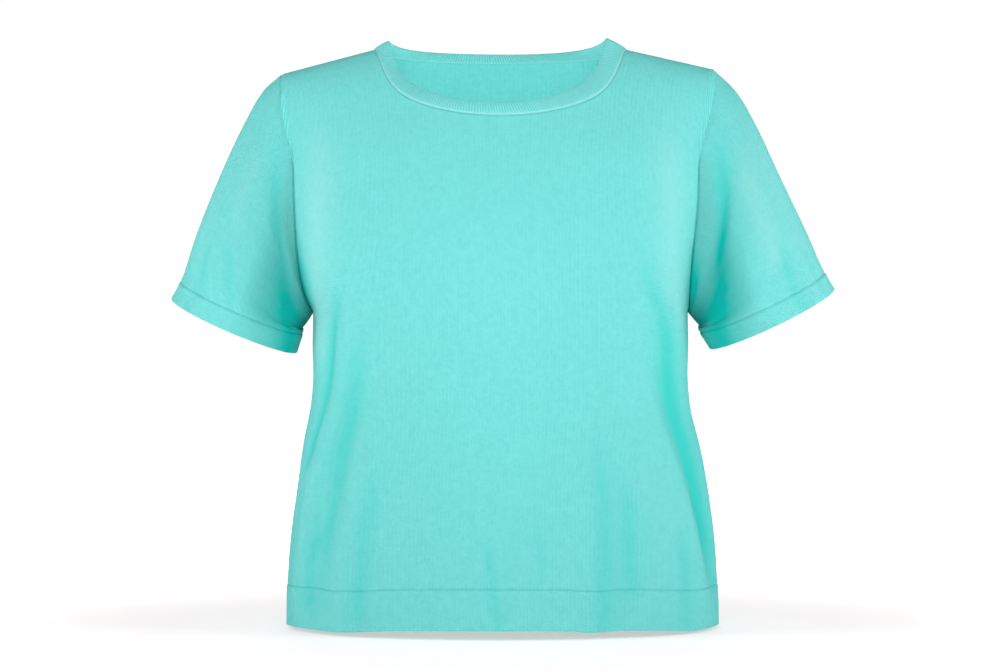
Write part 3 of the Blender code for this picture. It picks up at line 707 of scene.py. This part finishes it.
def ease_join(points, free, row):
    """Round the slight crease in a panel at the armpit level, where its two parts meet."""
    near = np.exp(-(((np.arange(len(points)) - row) / JOIN_ROWS) ** 2))
    hold = (near[:, None] * free)[1:-1, :, None]
    for _ in range(JOIN_PASSES):
        points[1:-1] += hold * ((points[:-2] + points[2:]) / 4.0 - points[1:-1] / 2.0)


def cut_panel(name, face):
    """The front or the back panel."""
    low, top = low_part(face, COLUMNS[face]), top_part(face, COLUMNS[face])
    points, turn, along, free = (np.concatenate([a[:-1], b]) for a, b in zip(low, top))
    ease_join(points, free, len(LOW_SHARES) - 1)
    return Piece(name, "body", points, turn, along, free, BODY_SET)


def cut_hem(name, face):
    """The folded hem of a panel, from its edge up to its seam."""
    u = COLUMNS[face]
    seam = hem_level(ring_turn(u, face, HEM_DROP)) + HEM_DEPTH
    z = seam - HEM_DEPTH * (1.0 - shares(HEM_ROWS, end=[e * HEM_NEAR for e in NEAR_SEAM])[:, None])
    turn = np.broadcast_to(ring_turn(u, face, -seam), z.shape)
    return Piece(name, "body", ring_point(turn, z), turn, -z, 1.0, BODY_SET)


# %% Sleeves and cuffs
def cut_sleeve(name, side, rows):
    """A sleeve or a cuff, from its lower edge up, and from the underarm seam round to it again."""
    front = -180.0 * (1.0 - TOP_SHARES**ARMHOLE_CLIMB)
    degrees = np.concatenate([front, -front[-2::-1]])
    if side == "right":
        degrees = degrees[::-1]
    share = rows[:, None]
    points = arm_point(side, share, degrees)
    free = smooth(share / SLEEVE_FREE)
    folds = (SLEEVE_FOLDS[side], FINE_SLEEVE_FOLDS[side], SLEEVE_PAINTED_SHADING[side])
    return Piece(name, f"arm_{side}", points, degrees, share, free, folds)


def cut_everything():
    """All the pieces but the neckband."""
    sleeve = CUFF_SHARE * shares(SLEEVE_ROWS, start=NEAR_SEAM, end=NEAR_SEAM)[::-1]
    cuff = 1.0 - (1.0 - CUFF_SHARE) * shares(CUFF_ROWS, end=[e * CUFF_NEAR for e in NEAR_SEAM])
    pieces = [cut_panel(name, face) for name, face in PANELS.items()]
    pieces += [cut_hem(f"hem_{name}", face) for name, face in PANELS.items()]
    for side in SLEEVES:
        pieces.append(cut_sleeve(f"sleeve_{side}", side, sleeve))
        pieces.append(cut_sleeve(f"cuff_{side}", side, cuff))
    return pieces


def cut_band():
    """The neckband's seam and its free edge, at the columns of the panels that meet it."""
    seam, edge = [], []
    for face, u in COLUMNS.items():
        u = u[np.abs(u) < NECK_SHARE - face * TINY]  # the front takes the shoulder ends
        turn = neck_turn(u)
        y, z = BAND_MIDDLES[face]
        forward = np.maximum(0.0, np.cos(turn)) ** NECK_ROUND_Y
        seam.append(top_edge(u, face))
        left = (1.0 + np.sin(turn)) / 2.0
        rise = BAND_RISES["right"] + (BAND_RISES["left"] - BAND_RISES["right"]) * left
        x = BAND_SHIFT + BAND_HALF * np.sin(turn)
        z = neck_height(turn, rise, z, BAND_EASE)
        edge.append(together(x, SIDE_Y + (y - SIDE_Y) * forward, z))
    seam, edge = (np.concatenate([*row, row[0][:1]]) for row in (seam, edge))
    return Piece("neckband", "band", np.stack([seam, edge]), 0.0, 0.0, 0.0)


cut = cut_everything()
band = cut_band()
for piece in [*cut, band]:
    print(piece.name, piece.points.shape[:2])

# %% [markdown]
# ## Sewing: one outward direction at every seam
#
# Two pieces that are sewn together share the points of their seam. If each moved those points along
# its own normal, the seam would open. So the outward directions are summed over every face that
# meets at a point, whichever piece it is of. Where body and sleeve meet at an angle, the wall is
# made a little longer on the mitre.

# %% Directions
MITRE_LIMIT = 3.0
MITRE_LEAST = 0.05
SAME_PLACE = 1e-5  # points nearer than this are one point of a seam


def face_sums(points):
    """The sum of the directions of the faces round each point of a grid."""
    a, b, c, d = points[:-1, :-1], points[:-1, 1:], points[1:, 1:], points[1:, :-1]
    faces = np.cross(c - a, d - b)
    total = np.zeros_like(points)
    total[:-1, :-1] += faces
    total[:-1, 1:] += faces
    total[1:, 1:] += faces
    total[1:, :-1] += faces
    return total


def unit(vectors):
    """The same directions, each 1 long."""
    return vectors / np.maximum(TINY, np.linalg.norm(vectors, axis=-1, keepdims=True))


def outward_directions(pieces):
    """For each piece, the shared outward direction at its points and the mitre's length."""
    keys = [np.rint(p.points.reshape(-1, 3) / SAME_PLACE).astype(np.int64) for p in pieces]
    _, index = np.unique(np.concatenate(keys), axis=0, return_inverse=True)
    places = np.split(index.reshape(-1), np.cumsum([len(key) for key in keys])[:-1])
    groups = sorted({p.group for p in pieces})
    sums = {g: np.zeros((index.max() + 1, 3)) for g in groups}
    for piece, place in zip(pieces, places):
        np.add.at(sums[piece.group], place, face_sums(piece.points).reshape(-1, 3))
    ways = [unit(sums[g]) for g in groups]
    mean = unit(sum(ways))
    there = [np.linalg.norm(w, axis=1) > 0.5 for w in ways]
    least = np.min([np.where(t, (w * mean).sum(axis=1), 1.0) for w, t in zip(ways, there)], axis=0)
    mitre = np.minimum(MITRE_LIMIT, 1.0 / np.maximum(MITRE_LEAST, least))
    found = {}
    for piece, place in zip(pieces, places):
        shape = piece.points.shape
        found[piece.name] = mean[place].reshape(shape), mitre[place].reshape(shape[:2])
    return found


def push_folds(pieces):
    """Move the points of every piece along the shared directions by the folds' heights, and set each
    piece's painted shade and highlights.
    """
    ways = outward_directions(pieces)
    for piece in pieces:
        large = fold_height(piece.large, piece.turn, piece.along) * piece.free
        fine = fold_height(piece.fine, piece.turn, piece.along) * piece.free
        piece.points = piece.points + ways[piece.name][0] * (large + fine)[..., None]
        # painted shade in the folds' troughs, and the painted shade and highlights of the piece's
        # tables
        trough_painted_shade = np.maximum(0.0, -fine) / FINE_SHADE + np.maximum(0.0, -large) / LARGE_SHADE
        piece.shade = trough_painted_shade + fold_height(piece.painted_shadings, piece.turn, piece.along)


push_folds([*cut, band])
print("folds pushed in and out")

# %% [markdown]
# ## Seams
#
# A seam of fine knit shows as a thin groove: both edges turn inwards to the stitches that join
# them, and the cloth beside it stands up a little. Each point's distance to the nearest seam,
# measured over the cloth along its row and its column, says how deep the point sinks.

# %% Distances over the cloth
SEAM_DEPTH = 0.0007
SEAM_WIDTH = 0.0015
WELT_RISE = 0.0003
WELT_PLACE = 0.0030
SEAM_SHADE = 0.12  # painted shade in a seam's groove
UNDERARM_TOP = -0.165  # the painted shade in the hollow by an armhole starts at this height
UNDERARM_FALL = 0.090
UNDERARM_END = -0.300
UNDERARM_FADE = 0.020
HOLLOW_REACHES = {"left": 0.0050, "right": 0.0340}  # how far in that painted shade reaches on the panels
HOLLOW_LEAST = 0.2  # and what share of that at its top
SLEEVE_REACH = 0.0045  # how far it reaches on a sleeve


def run_lengths(points, axis):
    """The length over the cloth from the first row or column to each point."""
    steps = np.linalg.norm(np.diff(points, axis=axis), axis=-1)
    zero = np.zeros_like(np.take(steps, [0], axis=axis))
    return np.concatenate([zero, np.cumsum(steps, axis=axis)], axis=axis)


def from_sides(piece):
    """The length over the cloth from each point to the nearer end of its row."""
    across = run_lengths(piece.points, 1)
    return np.minimum(across, across[:, -1:] - across)


def seam_distance(piece):
    """How far each point lies from the nearest seam of its piece."""
    up = run_lengths(piece.points, 0)
    near = up[-1:] - up
    if piece.group == "body":
        near = np.minimum(near, from_sides(piece))
    return near if piece.folded else np.minimum(near, up)


def underarm_shade(piece):
    """The painted shade in the hollow by the lower half of an armhole: how dark it paints the yarn.
    """
    z = piece.plain[..., 2]
    low = smooth((UNDERARM_TOP - z) / UNDERARM_FALL) * smooth((z - UNDERARM_END) / UNDERARM_FADE)
    if piece.name in PANELS:
        reach = by_side(piece.plain[..., 0], HOLLOW_REACHES) * (HOLLOW_LEAST + low)
        return low * (1.0 - smooth(from_sides(piece) / reach))
    if piece.folded:
        return np.zeros_like(z)
    up = run_lengths(piece.points, 0)
    return low * (1.0 - smooth((up[-1:] - up) / SLEEVE_REACH))


def seam_sink(distance):
    """How far the cloth sinks at a distance from a seam, with a faint welt beside it."""
    welt = np.exp(-(((distance - WELT_PLACE) / (WELT_PLACE / 2)) ** 2))
    return SEAM_DEPTH * (1.0 - smooth(distance / SEAM_WIDTH)) - WELT_RISE * welt


print(f"seams sink {1000 * SEAM_DEPTH:.1f} mm")

# %% [markdown]
# ## From a flat grid to a wall of cloth
#
# Every piece is made with the same few operators. create_grid gives the flat piece, and its points
# are carried to their places. extrude_face_region gives it its thickness, and the new points move
# to the inner side. Where the knit is folded, at the hem and the cuffs, a bevel rounds the fold.
# The cloth's flat size is its UV map, in metres, so a stitch is the same size everywhere.

# %% Walls
GRAIN_STEPS = 24
FOLD_SEGMENTS = 4
FOLD_ROUND = 0.42  # how far a fold's bevel reaches, as a share of its thickness
MERGE = 1e-6
SHARP = 50.0  # degrees


def grain(face, x, z):
    """How far the cloth runs from a panel's middle to x at a level above the armpits."""
    steps = np.linspace(0.0, 1.0, GRAIN_STEPS + 1)[:, None, None] * x
    y = cloth_y(steps, np.broadcast_to(z, steps.shape), face)
    lengths = np.hypot(np.diff(steps, axis=0), np.diff(y, axis=0)).sum(axis=0)
    return np.copysign(lengths, x)


def cloth_map(piece):
    """Places on the cloth in metres: across from its middle column, and up from its lower edge."""
    across = run_lengths(piece.points, 1)
    across = across - across[:, [across.shape[1] // 2]]
    if piece.name in PANELS:
        face, low = PANELS[piece.name], len(LOW_SHARES) - 1
        x, z = piece.plain[low:, :, 0], piece.plain[low:, :, 2]
        across[low:] = -face * grain(face, x, z)
    return together(across, run_lengths(piece.points, 0), 0.0)[..., :2]


def wall_sides(piece, ways):
    """The outer and inner points of a piece."""
    mean, mitre = ways[piece.name]
    sink = seam_sink(seam_distance(piece))
    out = piece.points + mean * (piece.proud * mitre - sink)[..., None]
    within = piece.points - mean * ((piece.thick - piece.proud) * mitre)[..., None]
    return out, within


def carried_grid(points, places, shades):
    """A flat grid carried to its points, with its flat map, its painted shading and its points'
    numbers.
    """
    rows, columns = points.shape[:2]
    points, places = points.reshape(-1, 3), places.reshape(-1, 2)
    shades = np.clip(shades, -1.0, 1.0).reshape(-1)
    mesh = bmesh.new()
    index = mesh.verts.layers.int.new("place")
    uv = mesh.loops.layers.uv.new("cloth")
    painted_shading = mesh.verts.layers.float.new("shade")
    bmesh.ops.create_grid(mesh, x_segments=columns - 1, y_segments=rows - 1, size=0.5)
    for vertex in mesh.verts:
        column = round((vertex.co.x + 0.5) * (columns - 1))
        row = round((vertex.co.y + 0.5) * (rows - 1))
        vertex[index] = row * columns + column
        vertex[painted_shading] = shades[vertex[index]]
        vertex.co = points[vertex[index]]
    for face in mesh.faces:
        for loop in face.loops:
            loop[uv].uv = places[loop.vert[index]]
    bmesh.ops.remove_doubles(mesh, verts=mesh.verts, dist=MERGE)
    return mesh, index


def make_wall(piece, ways):
    """A closed wall of cloth, whose lowest edge is a rounded fold if the piece is folded."""
    out, within = wall_sides(piece, ways)
    columns, within = out.shape[1], within.reshape(-1, 3)
    # painted shade in a seam's groove and in the hollow by an armhole, on top of the piece's painted
    # shading
    seam_painted_shade = SEAM_SHADE * (1.0 - smooth(seam_distance(piece) / SEAM_WIDTH))
    mesh, index = carried_grid(out, cloth_map(piece), piece.shade + seam_painted_shade + underarm_shade(piece))
    grown = bmesh.ops.extrude_face_region(mesh, geom=mesh.faces[:], use_keep_orig=True)
    for vertex in (v for v in grown["geom"] if isinstance(v, bmesh.types.BMVert)):
        vertex.co = within[vertex[index]]
    if piece.folded:
        low = [e for e in mesh.edges if all(v[index] < columns for v in e.verts)]
        rims = [e for e in low if e.verts[0][index] != e.verts[1][index]]
        bmesh.ops.bevel(
            mesh, geom=rims, offset=piece.thick * FOLD_ROUND, offset_type="OFFSET",
            segments=FOLD_SEGMENTS, profile=0.5, affect="EDGES", material=-1,
        )
    return finished(piece.name, mesh)


def finished(name, mesh):
    """An object at the origin from a finished bmesh, shaded smooth."""
    bmesh.ops.recalc_face_normals(mesh, faces=mesh.faces)
    data = bpy.data.meshes.new(f"{name}_cloth")
    mesh.to_mesh(data)
    mesh.free()
    data.shade_smooth()
    data.set_sharp_from_angle(angle=math.radians(SHARP))
    thing = bpy.data.objects.new(f"{name}_cloth", data)
    bpy.context.scene.collection.objects.link(thing)
    return thing


ways = outward_directions([*cut, band])
cloth = {}
for piece in cut:
    cloth[piece.name] = make_wall(piece, ways)
    print(piece.name, len(cloth[piece.name].data.polygons), "faces")

# %% [markdown]
# ## The neckband
#
# The neckband is a strip of 1x1 rib, folded double and linked to the neck. Its ribs catch the light
# one by one, so they are real relief. The band is one long grid that is closed both ways, round the
# neck and round its own section. Merging the grid's opposite edges sews it shut.

# %% The band's section
RIB_COLUMNS = 6  # columns to each rib
WALL_SHARES = shares(9, start=(0.02, 0.045, 0.085, 0.15, 0.20))
OVER_ROWS = 6  # rows over the fold
RIB_DEPTH = 0.0005
RIB_CREST = 0.7  # below 1 a rib is broader than the groove beside it
RIB_START = 0.12  # the ribs start above the chain of linking stitches at the seam
RIB_FADE = 0.12
RIB_SHADE = 0.42  # painted shade between the ribs
RIB_PAINTED_HIGHLIGHT = 0.30  # and painted highlight on them
LINK_PLACE = 0.085  # the linking stitches, as a share of the band's height
LINK_WIDTH = 0.055
LINK_RISE = 0.0002
# painted highlight along the ridge of the linking stitches
LINK_PAINTED_HIGHLIGHT = 0.34
BAND_BULGE = 0.0005
EDGE_ROUND = 0.35  # how far the fold bulges, as a share of the band's thickness


def evenly(values, columns):
    """A closed row of points or directions, at even steps along the neck seam."""
    run = run_lengths(band.points[:1], 1)[0]
    wanted = np.linspace(0.0, run[-1], columns + 1)
    return np.stack([np.interp(wanted, run, values[:, k]) for k in range(3)], axis=-1)


def band_surface():
    """The band's points: rows round its section, columns round the neck, closed both ways."""
    columns = RIBS * RIB_COLUMNS
    seam, edge = (evenly(row, columns) for row in band.points)
    seam_way, edge_way = (unit(evenly(row, columns)) for row in ways["neckband"][0])
    rib = 0.5 + 0.5 * np.cos(2.0 * np.pi * np.arange(columns + 1) / RIB_COLUMNS)
    rib = (rib**RIB_CREST)[:, None]
    up = unit(edge - seam)
    # painted shading of the rib: shade between the ribs, highlight on them and on the linking
    # stitches
    painted_shading = RIB_SHADE * (1.0 - rib[:, 0]) - RIB_PAINTED_HIGHLIGHT * rib[:, 0]
    rows, painted_shadings = [], []
    for height in WALL_SHARES:
        way = unit(seam_way + (edge_way - seam_way) * height)
        bulge = PROUD + BAND_BULGE * 4.0 * height * (1.0 - height)
        start = smooth((height - RIB_START) / RIB_FADE)
        link = math.exp(-(((height - LINK_PLACE) / LINK_WIDTH) ** 2))
        low = SEAM_DEPTH * (1.0 - smooth(height / LINK_PLACE))
        out = bulge + RIB_DEPTH * rib * start + LINK_RISE * link - low
        rows.append((seam + (edge - seam) * height, way, out))
        painted_shadings.append(painted_shading * start - LINK_PAINTED_HIGHLIGHT * link)
    outside = [point + way * out for point, way, out in rows]
    inside = [point - way * (BAND_THICK + out - 2.0 * PROUD) for point, way, out in rows[::-1]]
    middle = edge + edge_way * (PROUD - BAND_THICK / 2.0)
    over = []
    for angle in np.linspace(0.0, np.pi, OVER_ROWS + 1)[1:-1]:
        reach = BAND_THICK / 2.0 + RIB_DEPTH * rib
        lift = BAND_THICK * EDGE_ROUND + RIB_DEPTH * rib
        over.append(middle + edge_way * reach * np.cos(angle) + up * lift * np.sin(angle))
    shades = [*painted_shadings, *[painted_shading for _ in over], *painted_shadings[::-1], painted_shadings[0]]
    return np.stack([*outside, *over, *inside, outside[0]]), np.stack(shades)


def make_band():
    """The neckband as a closed grid, with its ribs as real relief."""
    points, shades = band_surface()
    pitch = run_lengths(band.points[:1], 1)[0, -1] / RIBS
    across = np.arange(points.shape[1]) / RIB_COLUMNS * pitch
    places = together(across[None, :], run_lengths(points, 0)[:, :1], 0.0)[..., :2]
    return finished("neckband", carried_grid(points, places, shades)[0]), pitch


cloth["neckband"], rib_pitch = make_band()
print(f"rib pitch {1000 * rib_pitch:.2f} mm, {len(cloth['neckband'].data.polygons)} faces")

# %% [markdown]
# ## The knit as a material
#
# Seen close, jersey is columns of small V shapes: each stitch has two legs that lean apart, and a
# groove runs between one column and the next. They are far too many to model, so this finest relief
# is a height for a Bump node. The pattern reads the UV map in metres. It is one node group with
# named sockets that gives only a colour, a roughness and a height, and the shader stays in the
# material. Its colour has painted shade in the grooves between stitches, and it takes on the painted
# shade and highlights that each piece carries in its shade attribute.

# %% Short calls for number nodes
class Numbers:
    """Makes math nodes in one tree, so that a formula reads like a formula."""

    def __init__(self, tree):
        self.tree = tree

    def node(self, kind, **settings):
        made = self.tree.nodes.new(kind)
        for name, value in settings.items():
            setattr(made, name, value)
        return made

    def put(self, socket, value):
        if isinstance(value, bpy.types.NodeSocket):
            self.tree.links.new(value, socket)
        else:
            socket.default_value = value

    def fill(self, sockets, values):
        for name, value in values.items():
            self.put(sockets[name], value)

    def do(self, operation, *values):
        made = self.node("ShaderNodeMath", operation=operation)
        self.fill(made.inputs, dict(enumerate(values)))
        return made.outputs[0]

    def mix(self, share, a, b):
        made = self.node("ShaderNodeMix", data_type="RGBA")
        self.fill(made.inputs, {0: share, 6: a, 7: b})
        return made.outputs[2]

    def noise(self, place, scale, detail):
        made = self.node("ShaderNodeTexNoise", noise_dimensions="2D")
        self.fill(made.inputs, {"Vector": place, "Scale": scale, "Detail": detail})
        return made.outputs[0]


# %% The jersey group
SOCKETS = [
    ("INPUT", "Vector", ["Place"]),
    ("INPUT", "Color", ["Yarn", "Shade", "PaintedShadeColour", "PaintedHighlightColour"]),
    ("INPUT", "Float", ["Wale", "Course", "Relief", "Marl", "PaintedShading"]),
    ("OUTPUT", "Color", ["Colour"]),
    ("OUTPUT", "Float", ["Roughness", "Height"]),
]
SWAY = 0.0006  # how far the wales wander
SWAY_SCALE = 90.0
CLOUD_SCALE = 120.0  # of the soft unevenness of the yarn
LEG_LEAN = 0.7  # how many courses a stitch's legs lean over
LEG_ROUND = 0.6  # below 1 a leg is broader and flatter than a plain wave
LOOP_SHARE = 0.45  # how much of the relief swells and sinks along a leg
FLECK_SHARE = 0.6  # how uneven single stitches are beside the clouds
FLECK_MIDDLE = 0.8
TOP_LIGHT = 0.62  # how much the stitch relief paints the grooves darker: painted shade between stitches
ROUGH = 0.75  # in the grooves between stitches
ROUGH_FALL = 0.12  # and how much less on top of them


def jersey_group():
    """Columns of V-shaped stitches: a colour with painted shade and highlights, a roughness and a
    height in millimetres.
    """
    group = bpy.data.node_groups.new("fine_jersey", "ShaderNodeTree")
    for way, kind, names in SOCKETS:
        for name in names:
            group.interface.new_socket(name, in_out=way, socket_type=f"NodeSocket{kind}")
    n = Numbers(group)
    given = n.node("NodeGroupInput").outputs
    result = n.node("NodeGroupOutput").inputs
    parts = n.node("ShaderNodeSeparateXYZ")
    n.put(parts.inputs[0], given["Place"])
    wobble = n.noise(given["Place"], SWAY_SCALE, 1.0)
    sway = n.do("MULTIPLY", n.do("SUBTRACT", wobble, 0.5), SWAY)
    x = n.do("DIVIDE", n.do("ADD", parts.outputs[0], sway), given["Wale"])
    y = n.do("DIVIDE", n.do("ADD", parts.outputs[1], sway), given["Course"])
    leg = n.do("MULTIPLY", n.do("ABSOLUTE", n.do("SUBTRACT", n.do("FRACT", x), 0.5)), 2.0)
    lean = n.do("SUBTRACT", y, n.do("MULTIPLY", leg, LEG_LEAN))
    loop = n.do("SINE", n.do("MULTIPLY", n.do("FRACT", lean), math.pi))
    body = n.do("POWER", n.do("SINE", n.do("MULTIPLY", leg, math.pi)), LEG_ROUND)
    swell = n.do("ADD", n.do("MULTIPLY", loop, LOOP_SHARE), 1.0 - LOOP_SHARE)
    relief = n.do("MULTIPLY", body, swell)
    n.put(result["Height"], n.do("MULTIPLY", relief, given["Relief"]))
    stitch = n.node("ShaderNodeCombineXYZ")
    n.put(stitch.inputs[0], n.do("FLOOR", x))
    n.put(stitch.inputs[1], n.do("FLOOR", lean))
    chance = n.node("ShaderNodeTexWhiteNoise", noise_dimensions="2D")
    n.put(chance.inputs["Vector"], stitch.outputs[0])
    cloud = n.noise(given["Place"], CLOUD_SCALE, 3.0)
    fleck = n.do("ADD", n.do("MULTIPLY", chance.outputs["Value"], FLECK_SHARE), cloud)
    fleck = n.do("MULTIPLY", n.do("SUBTRACT", fleck, FLECK_MIDDLE), given["Marl"])
    # painted shade: the relief darkens the grooves between stitches; the flecks and clouds are the
    # yarn's own marl
    light = n.do("ADD", n.do("MULTIPLY", relief, TOP_LIGHT), n.do("ADD", fleck, 1.0 - TOP_LIGHT))
    marl_with_painted_shading = n.mix(light, given["Shade"], given["Yarn"])
    # painted highlight where the piece's painted shading is negative, and painted shade where it is
    # positive
    marl_with_painted_shading = n.mix(n.do("MULTIPLY", given["PaintedShading"], -1.0), marl_with_painted_shading, given["PaintedHighlightColour"])
    n.put(result["Colour"], n.mix(given["PaintedShading"], marl_with_painted_shading, given["PaintedShadeColour"]))
    n.put(result["Roughness"], n.do("SUBTRACT", ROUGH, n.do("MULTIPLY", relief, ROUGH_FALL)))
    return group


knit_pattern = jersey_group()
print("node group:", knit_pattern.name, len(knit_pattern.nodes), "nodes")

# %% [markdown]
# ## Three finishes from one pattern
#
# The panels, the rib and the folded edges are of the same yarn, so they share the group and differ
# in pitch, relief, yarn colour and painted groove shade. The sheen is the same all over, so it is set
# on the shader's own socket.

# %% Materials
WALE = 0.0027
COURSE = 0.0020
MARL = 0.30  # how uneven the yarn's colour is
KNIT_RELIEF = 0.70  # in millimetres
BAND_RELIEF = 0.35
YARN = (0.188, 0.675, 0.650, 1.0)
# painted shade: YARN_SHADE and BAND_SHADE colour the grooves between stitches
YARN_SHADE = (0.080, 0.505, 0.480, 1.0)
BAND_YARN = (0.168, 0.590, 0.580, 1.0)
BAND_SHADE = (0.090, 0.440, 0.420, 1.0)
PAINTED_SHADE_COLOUR = (0.002, 0.560, 0.500, 1.0)  # painted shade colour, where the painted shading is deepest
PAINTED_HIGHLIGHT_COLOUR = (0.420, 0.760, 0.750, 1.0)  # and painted highlight colour, where it is palest
MILLIMETRE = 0.001
SHEEN = 0.03
SHEEN_ROUGHNESS = 0.45
SHEEN_TINT = (0.90, 1.0, 1.0, 1.0)
SPECULAR = 0.0


def knit_material(name, yarn, shade, wale, relief):
    """A knit finish: the jersey pattern with its painted shade and highlights, on the piece's own
    flat map, under a soft sheen.
    """
    material = bpy.data.materials.new(name)
    material.use_nodes = True
    n = Numbers(material.node_tree)
    knit = n.node("ShaderNodeGroup", node_tree=knit_pattern)
    n.fill(knit.inputs, {
        "Place": n.node("ShaderNodeUVMap", uv_map="cloth").outputs[0],
        "PaintedShading": n.node("ShaderNodeAttribute", attribute_name="shade").outputs["Fac"],
        "Yarn": yarn, "Shade": shade, "PaintedShadeColour": PAINTED_SHADE_COLOUR, "PaintedHighlightColour": PAINTED_HIGHLIGHT_COLOUR,
        "Wale": wale, "Course": COURSE, "Relief": relief, "Marl": MARL,
    })
    bump = n.node("ShaderNodeBump")
    n.fill(bump.inputs, {"Distance": MILLIMETRE, "Height": knit.outputs["Height"]})
    n.fill(material.node_tree.nodes["Principled BSDF"].inputs, {
        "Base Color": knit.outputs["Colour"], "Roughness": knit.outputs["Roughness"],
        "Normal": bump.outputs[0], "Specular IOR Level": SPECULAR,
        "Sheen Weight": SHEEN, "Sheen Roughness": SHEEN_ROUGHNESS, "Sheen Tint": SHEEN_TINT,
    })
    return material


finishes = {
    "knit": knit_material("jersey", YARN, YARN_SHADE, WALE, KNIT_RELIEF),
    "folded_edges": knit_material("folded_jersey", YARN, YARN_SHADE, WALE, KNIT_RELIEF),
    "ribbed_band": knit_material("rib", BAND_YARN, BAND_SHADE, rib_pitch, BAND_RELIEF),
}
print("finishes:", list(finishes))

# %% [markdown]
# ## Dressing the model
#
# Each piece of cloth takes the place of its solid, rides on the sweater's one body and takes its
# finish.


for piece in [*cut, band]:
    thing = cloth[piece.name]
    slot = "ribbed_band" if piece is band else "folded_edges" if piece.folded else "knit"
    thing.data.materials.append(finishes[slot])
    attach(thing, "root")
    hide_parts(piece.name)

# %% [markdown]
# ## Floor and light
#
# A garment like this is photographed on a seamless pale ground with large soft lights, so that no
# hard shadow falls across the knit. Soft boxes stand in front, on either side and behind. A small
# lamp within stands for the light that comes through the knit, and the surroundings fill the rest.
# The floor glows with painted light, dimmer near the sweater than away from it.

# %% Stage
FLOOR_GAP = 0.002  # under the lowest point of the hem
FLOOR_HALF = 30.0
FLOOR_TONE = (0.60, 0.60, 0.60, 1.0)
FLOOR_GLOW = 0.50  # painted light near the sweater: the ground glows, so that it stays pale and its shadow soft
FLOOR_FAR = (0.35, 0.90)  # between these distances the painted glow brightens into the surroundings
FLOOR_FAR_GLOW = 1.12
FLOOR_WARMTH = (1.0, 0.90, 0.91, 1.0)  # the glow's colour: a warm painted light against the green that the cloth throws on it


def make_floor(height):
    """A wide level floor with a painted glow, dimmer near the sweater and brightening into the
    surroundings away from it.
    """
    mesh = bmesh.new()
    bmesh.ops.create_grid(mesh, x_segments=1, y_segments=1, size=FLOOR_HALF)
    data = bpy.data.meshes.new("floor")
    mesh.to_mesh(data)
    mesh.free()
    floor = bpy.data.objects.new("floor", data)
    floor.location.z = height
    bpy.context.scene.collection.objects.link(floor)
    material = bpy.data.materials.new("floor")
    material.use_nodes = True
    n = Numbers(material.node_tree)
    away = n.node("ShaderNodeVectorMath", operation="LENGTH")
    n.put(away.inputs[0], n.node("ShaderNodeTexCoord").outputs["Object"])
    ramp = n.node("ShaderNodeMapRange", interpolation_type="SMOOTHSTEP")
    limits = (away.outputs["Value"], *FLOOR_FAR, FLOOR_GLOW, FLOOR_FAR_GLOW)
    n.fill(ramp.inputs, dict(enumerate(limits)))
    n.fill(material.node_tree.nodes["Principled BSDF"].inputs, {
        "Base Color": FLOOR_TONE, "Roughness": 1.0, "Specular IOR Level": 0.0,
        "Emission Color": FLOOR_WARMTH, "Emission Strength": ramp.outputs[0],
    })
    data.materials.append(material)
    floor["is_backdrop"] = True


class SoftBox(NamedTuple):
    """A rectangular soft light: where it stands, what it faces, its size and its power."""

    name: str
    place: tuple
    aim: tuple
    size: tuple
    power: float


SOFT_BOXES = table(SoftBox, [
    ("soft_box_front", (0.0, -3.2, 0.3), (0.0, 0.0, -0.3), (2.0, 2.0), 54.0),
    ("soft_box_left", (-2.5, -0.9, 0.7), (0.0, 0.0, -0.3), (1.2, 1.6), 36.0),
    ("soft_box_right", (2.5, -0.9, 0.7), (0.0, 0.0, -0.3), (1.2, 1.6), 40.0),
    ("soft_box_back", (0.0, 3.4, 0.6), (0.0, 0.0, -0.3), (2.2, 2.2), 50.0),
    ("lamp_within", (0.0, -0.02, -0.30), (0.0, 0.10, -0.06), (0.16, 0.16), 0.66),
])
SURROUND = 0.30
SURROUND_SEEN = 1.02


def make_light(box):
    """An area light from its row, which the camera doesn't see."""
    light = bpy.data.lights.new(box.name, "AREA")
    light.shape = "RECTANGLE"
    light.size, light.size_y = box.size
    light.energy = box.power
    thing = bpy.data.objects.new(box.name, light)
    thing.location = box.place
    way = Vector(box.aim) - Vector(box.place)
    thing.rotation_euler = way.to_track_quat("-Z", "Y").to_euler()
    thing.visible_camera = False
    bpy.context.scene.collection.objects.link(thing)


def make_surroundings(strength, seen):
    """An even pale surround, which the camera sees a little brighter than it lights."""
    world = bpy.data.worlds.new("studio")
    world.use_nodes = True
    n = Numbers(world.node_tree)
    shader = world.node_tree.nodes["Background"]
    path = n.node("ShaderNodeLightPath")
    level = n.do("ADD", strength, n.do("MULTIPLY", path.outputs["Is Camera Ray"], seen - strength))
    n.put(shader.inputs["Strength"], level)
    shader.inputs["Color"].default_value = (1.0, 1.0, 1.0, 1.0)
    bpy.context.scene.world = world


bpy.context.view_layer.update()
make_floor(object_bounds()[0].z - FLOOR_GAP)
for box in SOFT_BOXES:
    make_light(box)
make_surroundings(SURROUND, SURROUND_SEEN)
bpy.context.scene.view_settings.view_transform = "Standard"
print("floor and", len(SOFT_BOXES), "lights are in place")

# %% [markdown]
# ## Sizes
#
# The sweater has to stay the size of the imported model, so both boxes are written down.

# %% Compare the boxes
visual_box = [list(corner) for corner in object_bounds()]
for axis, name in enumerate("xyz"):
    before = solid_box[1][axis] - solid_box[0][axis]
    after = visual_box[1][axis] - visual_box[0][axis]
    print(f"{name}: solids {1000 * before:.1f} mm, cloth {1000 * after:.1f} mm")
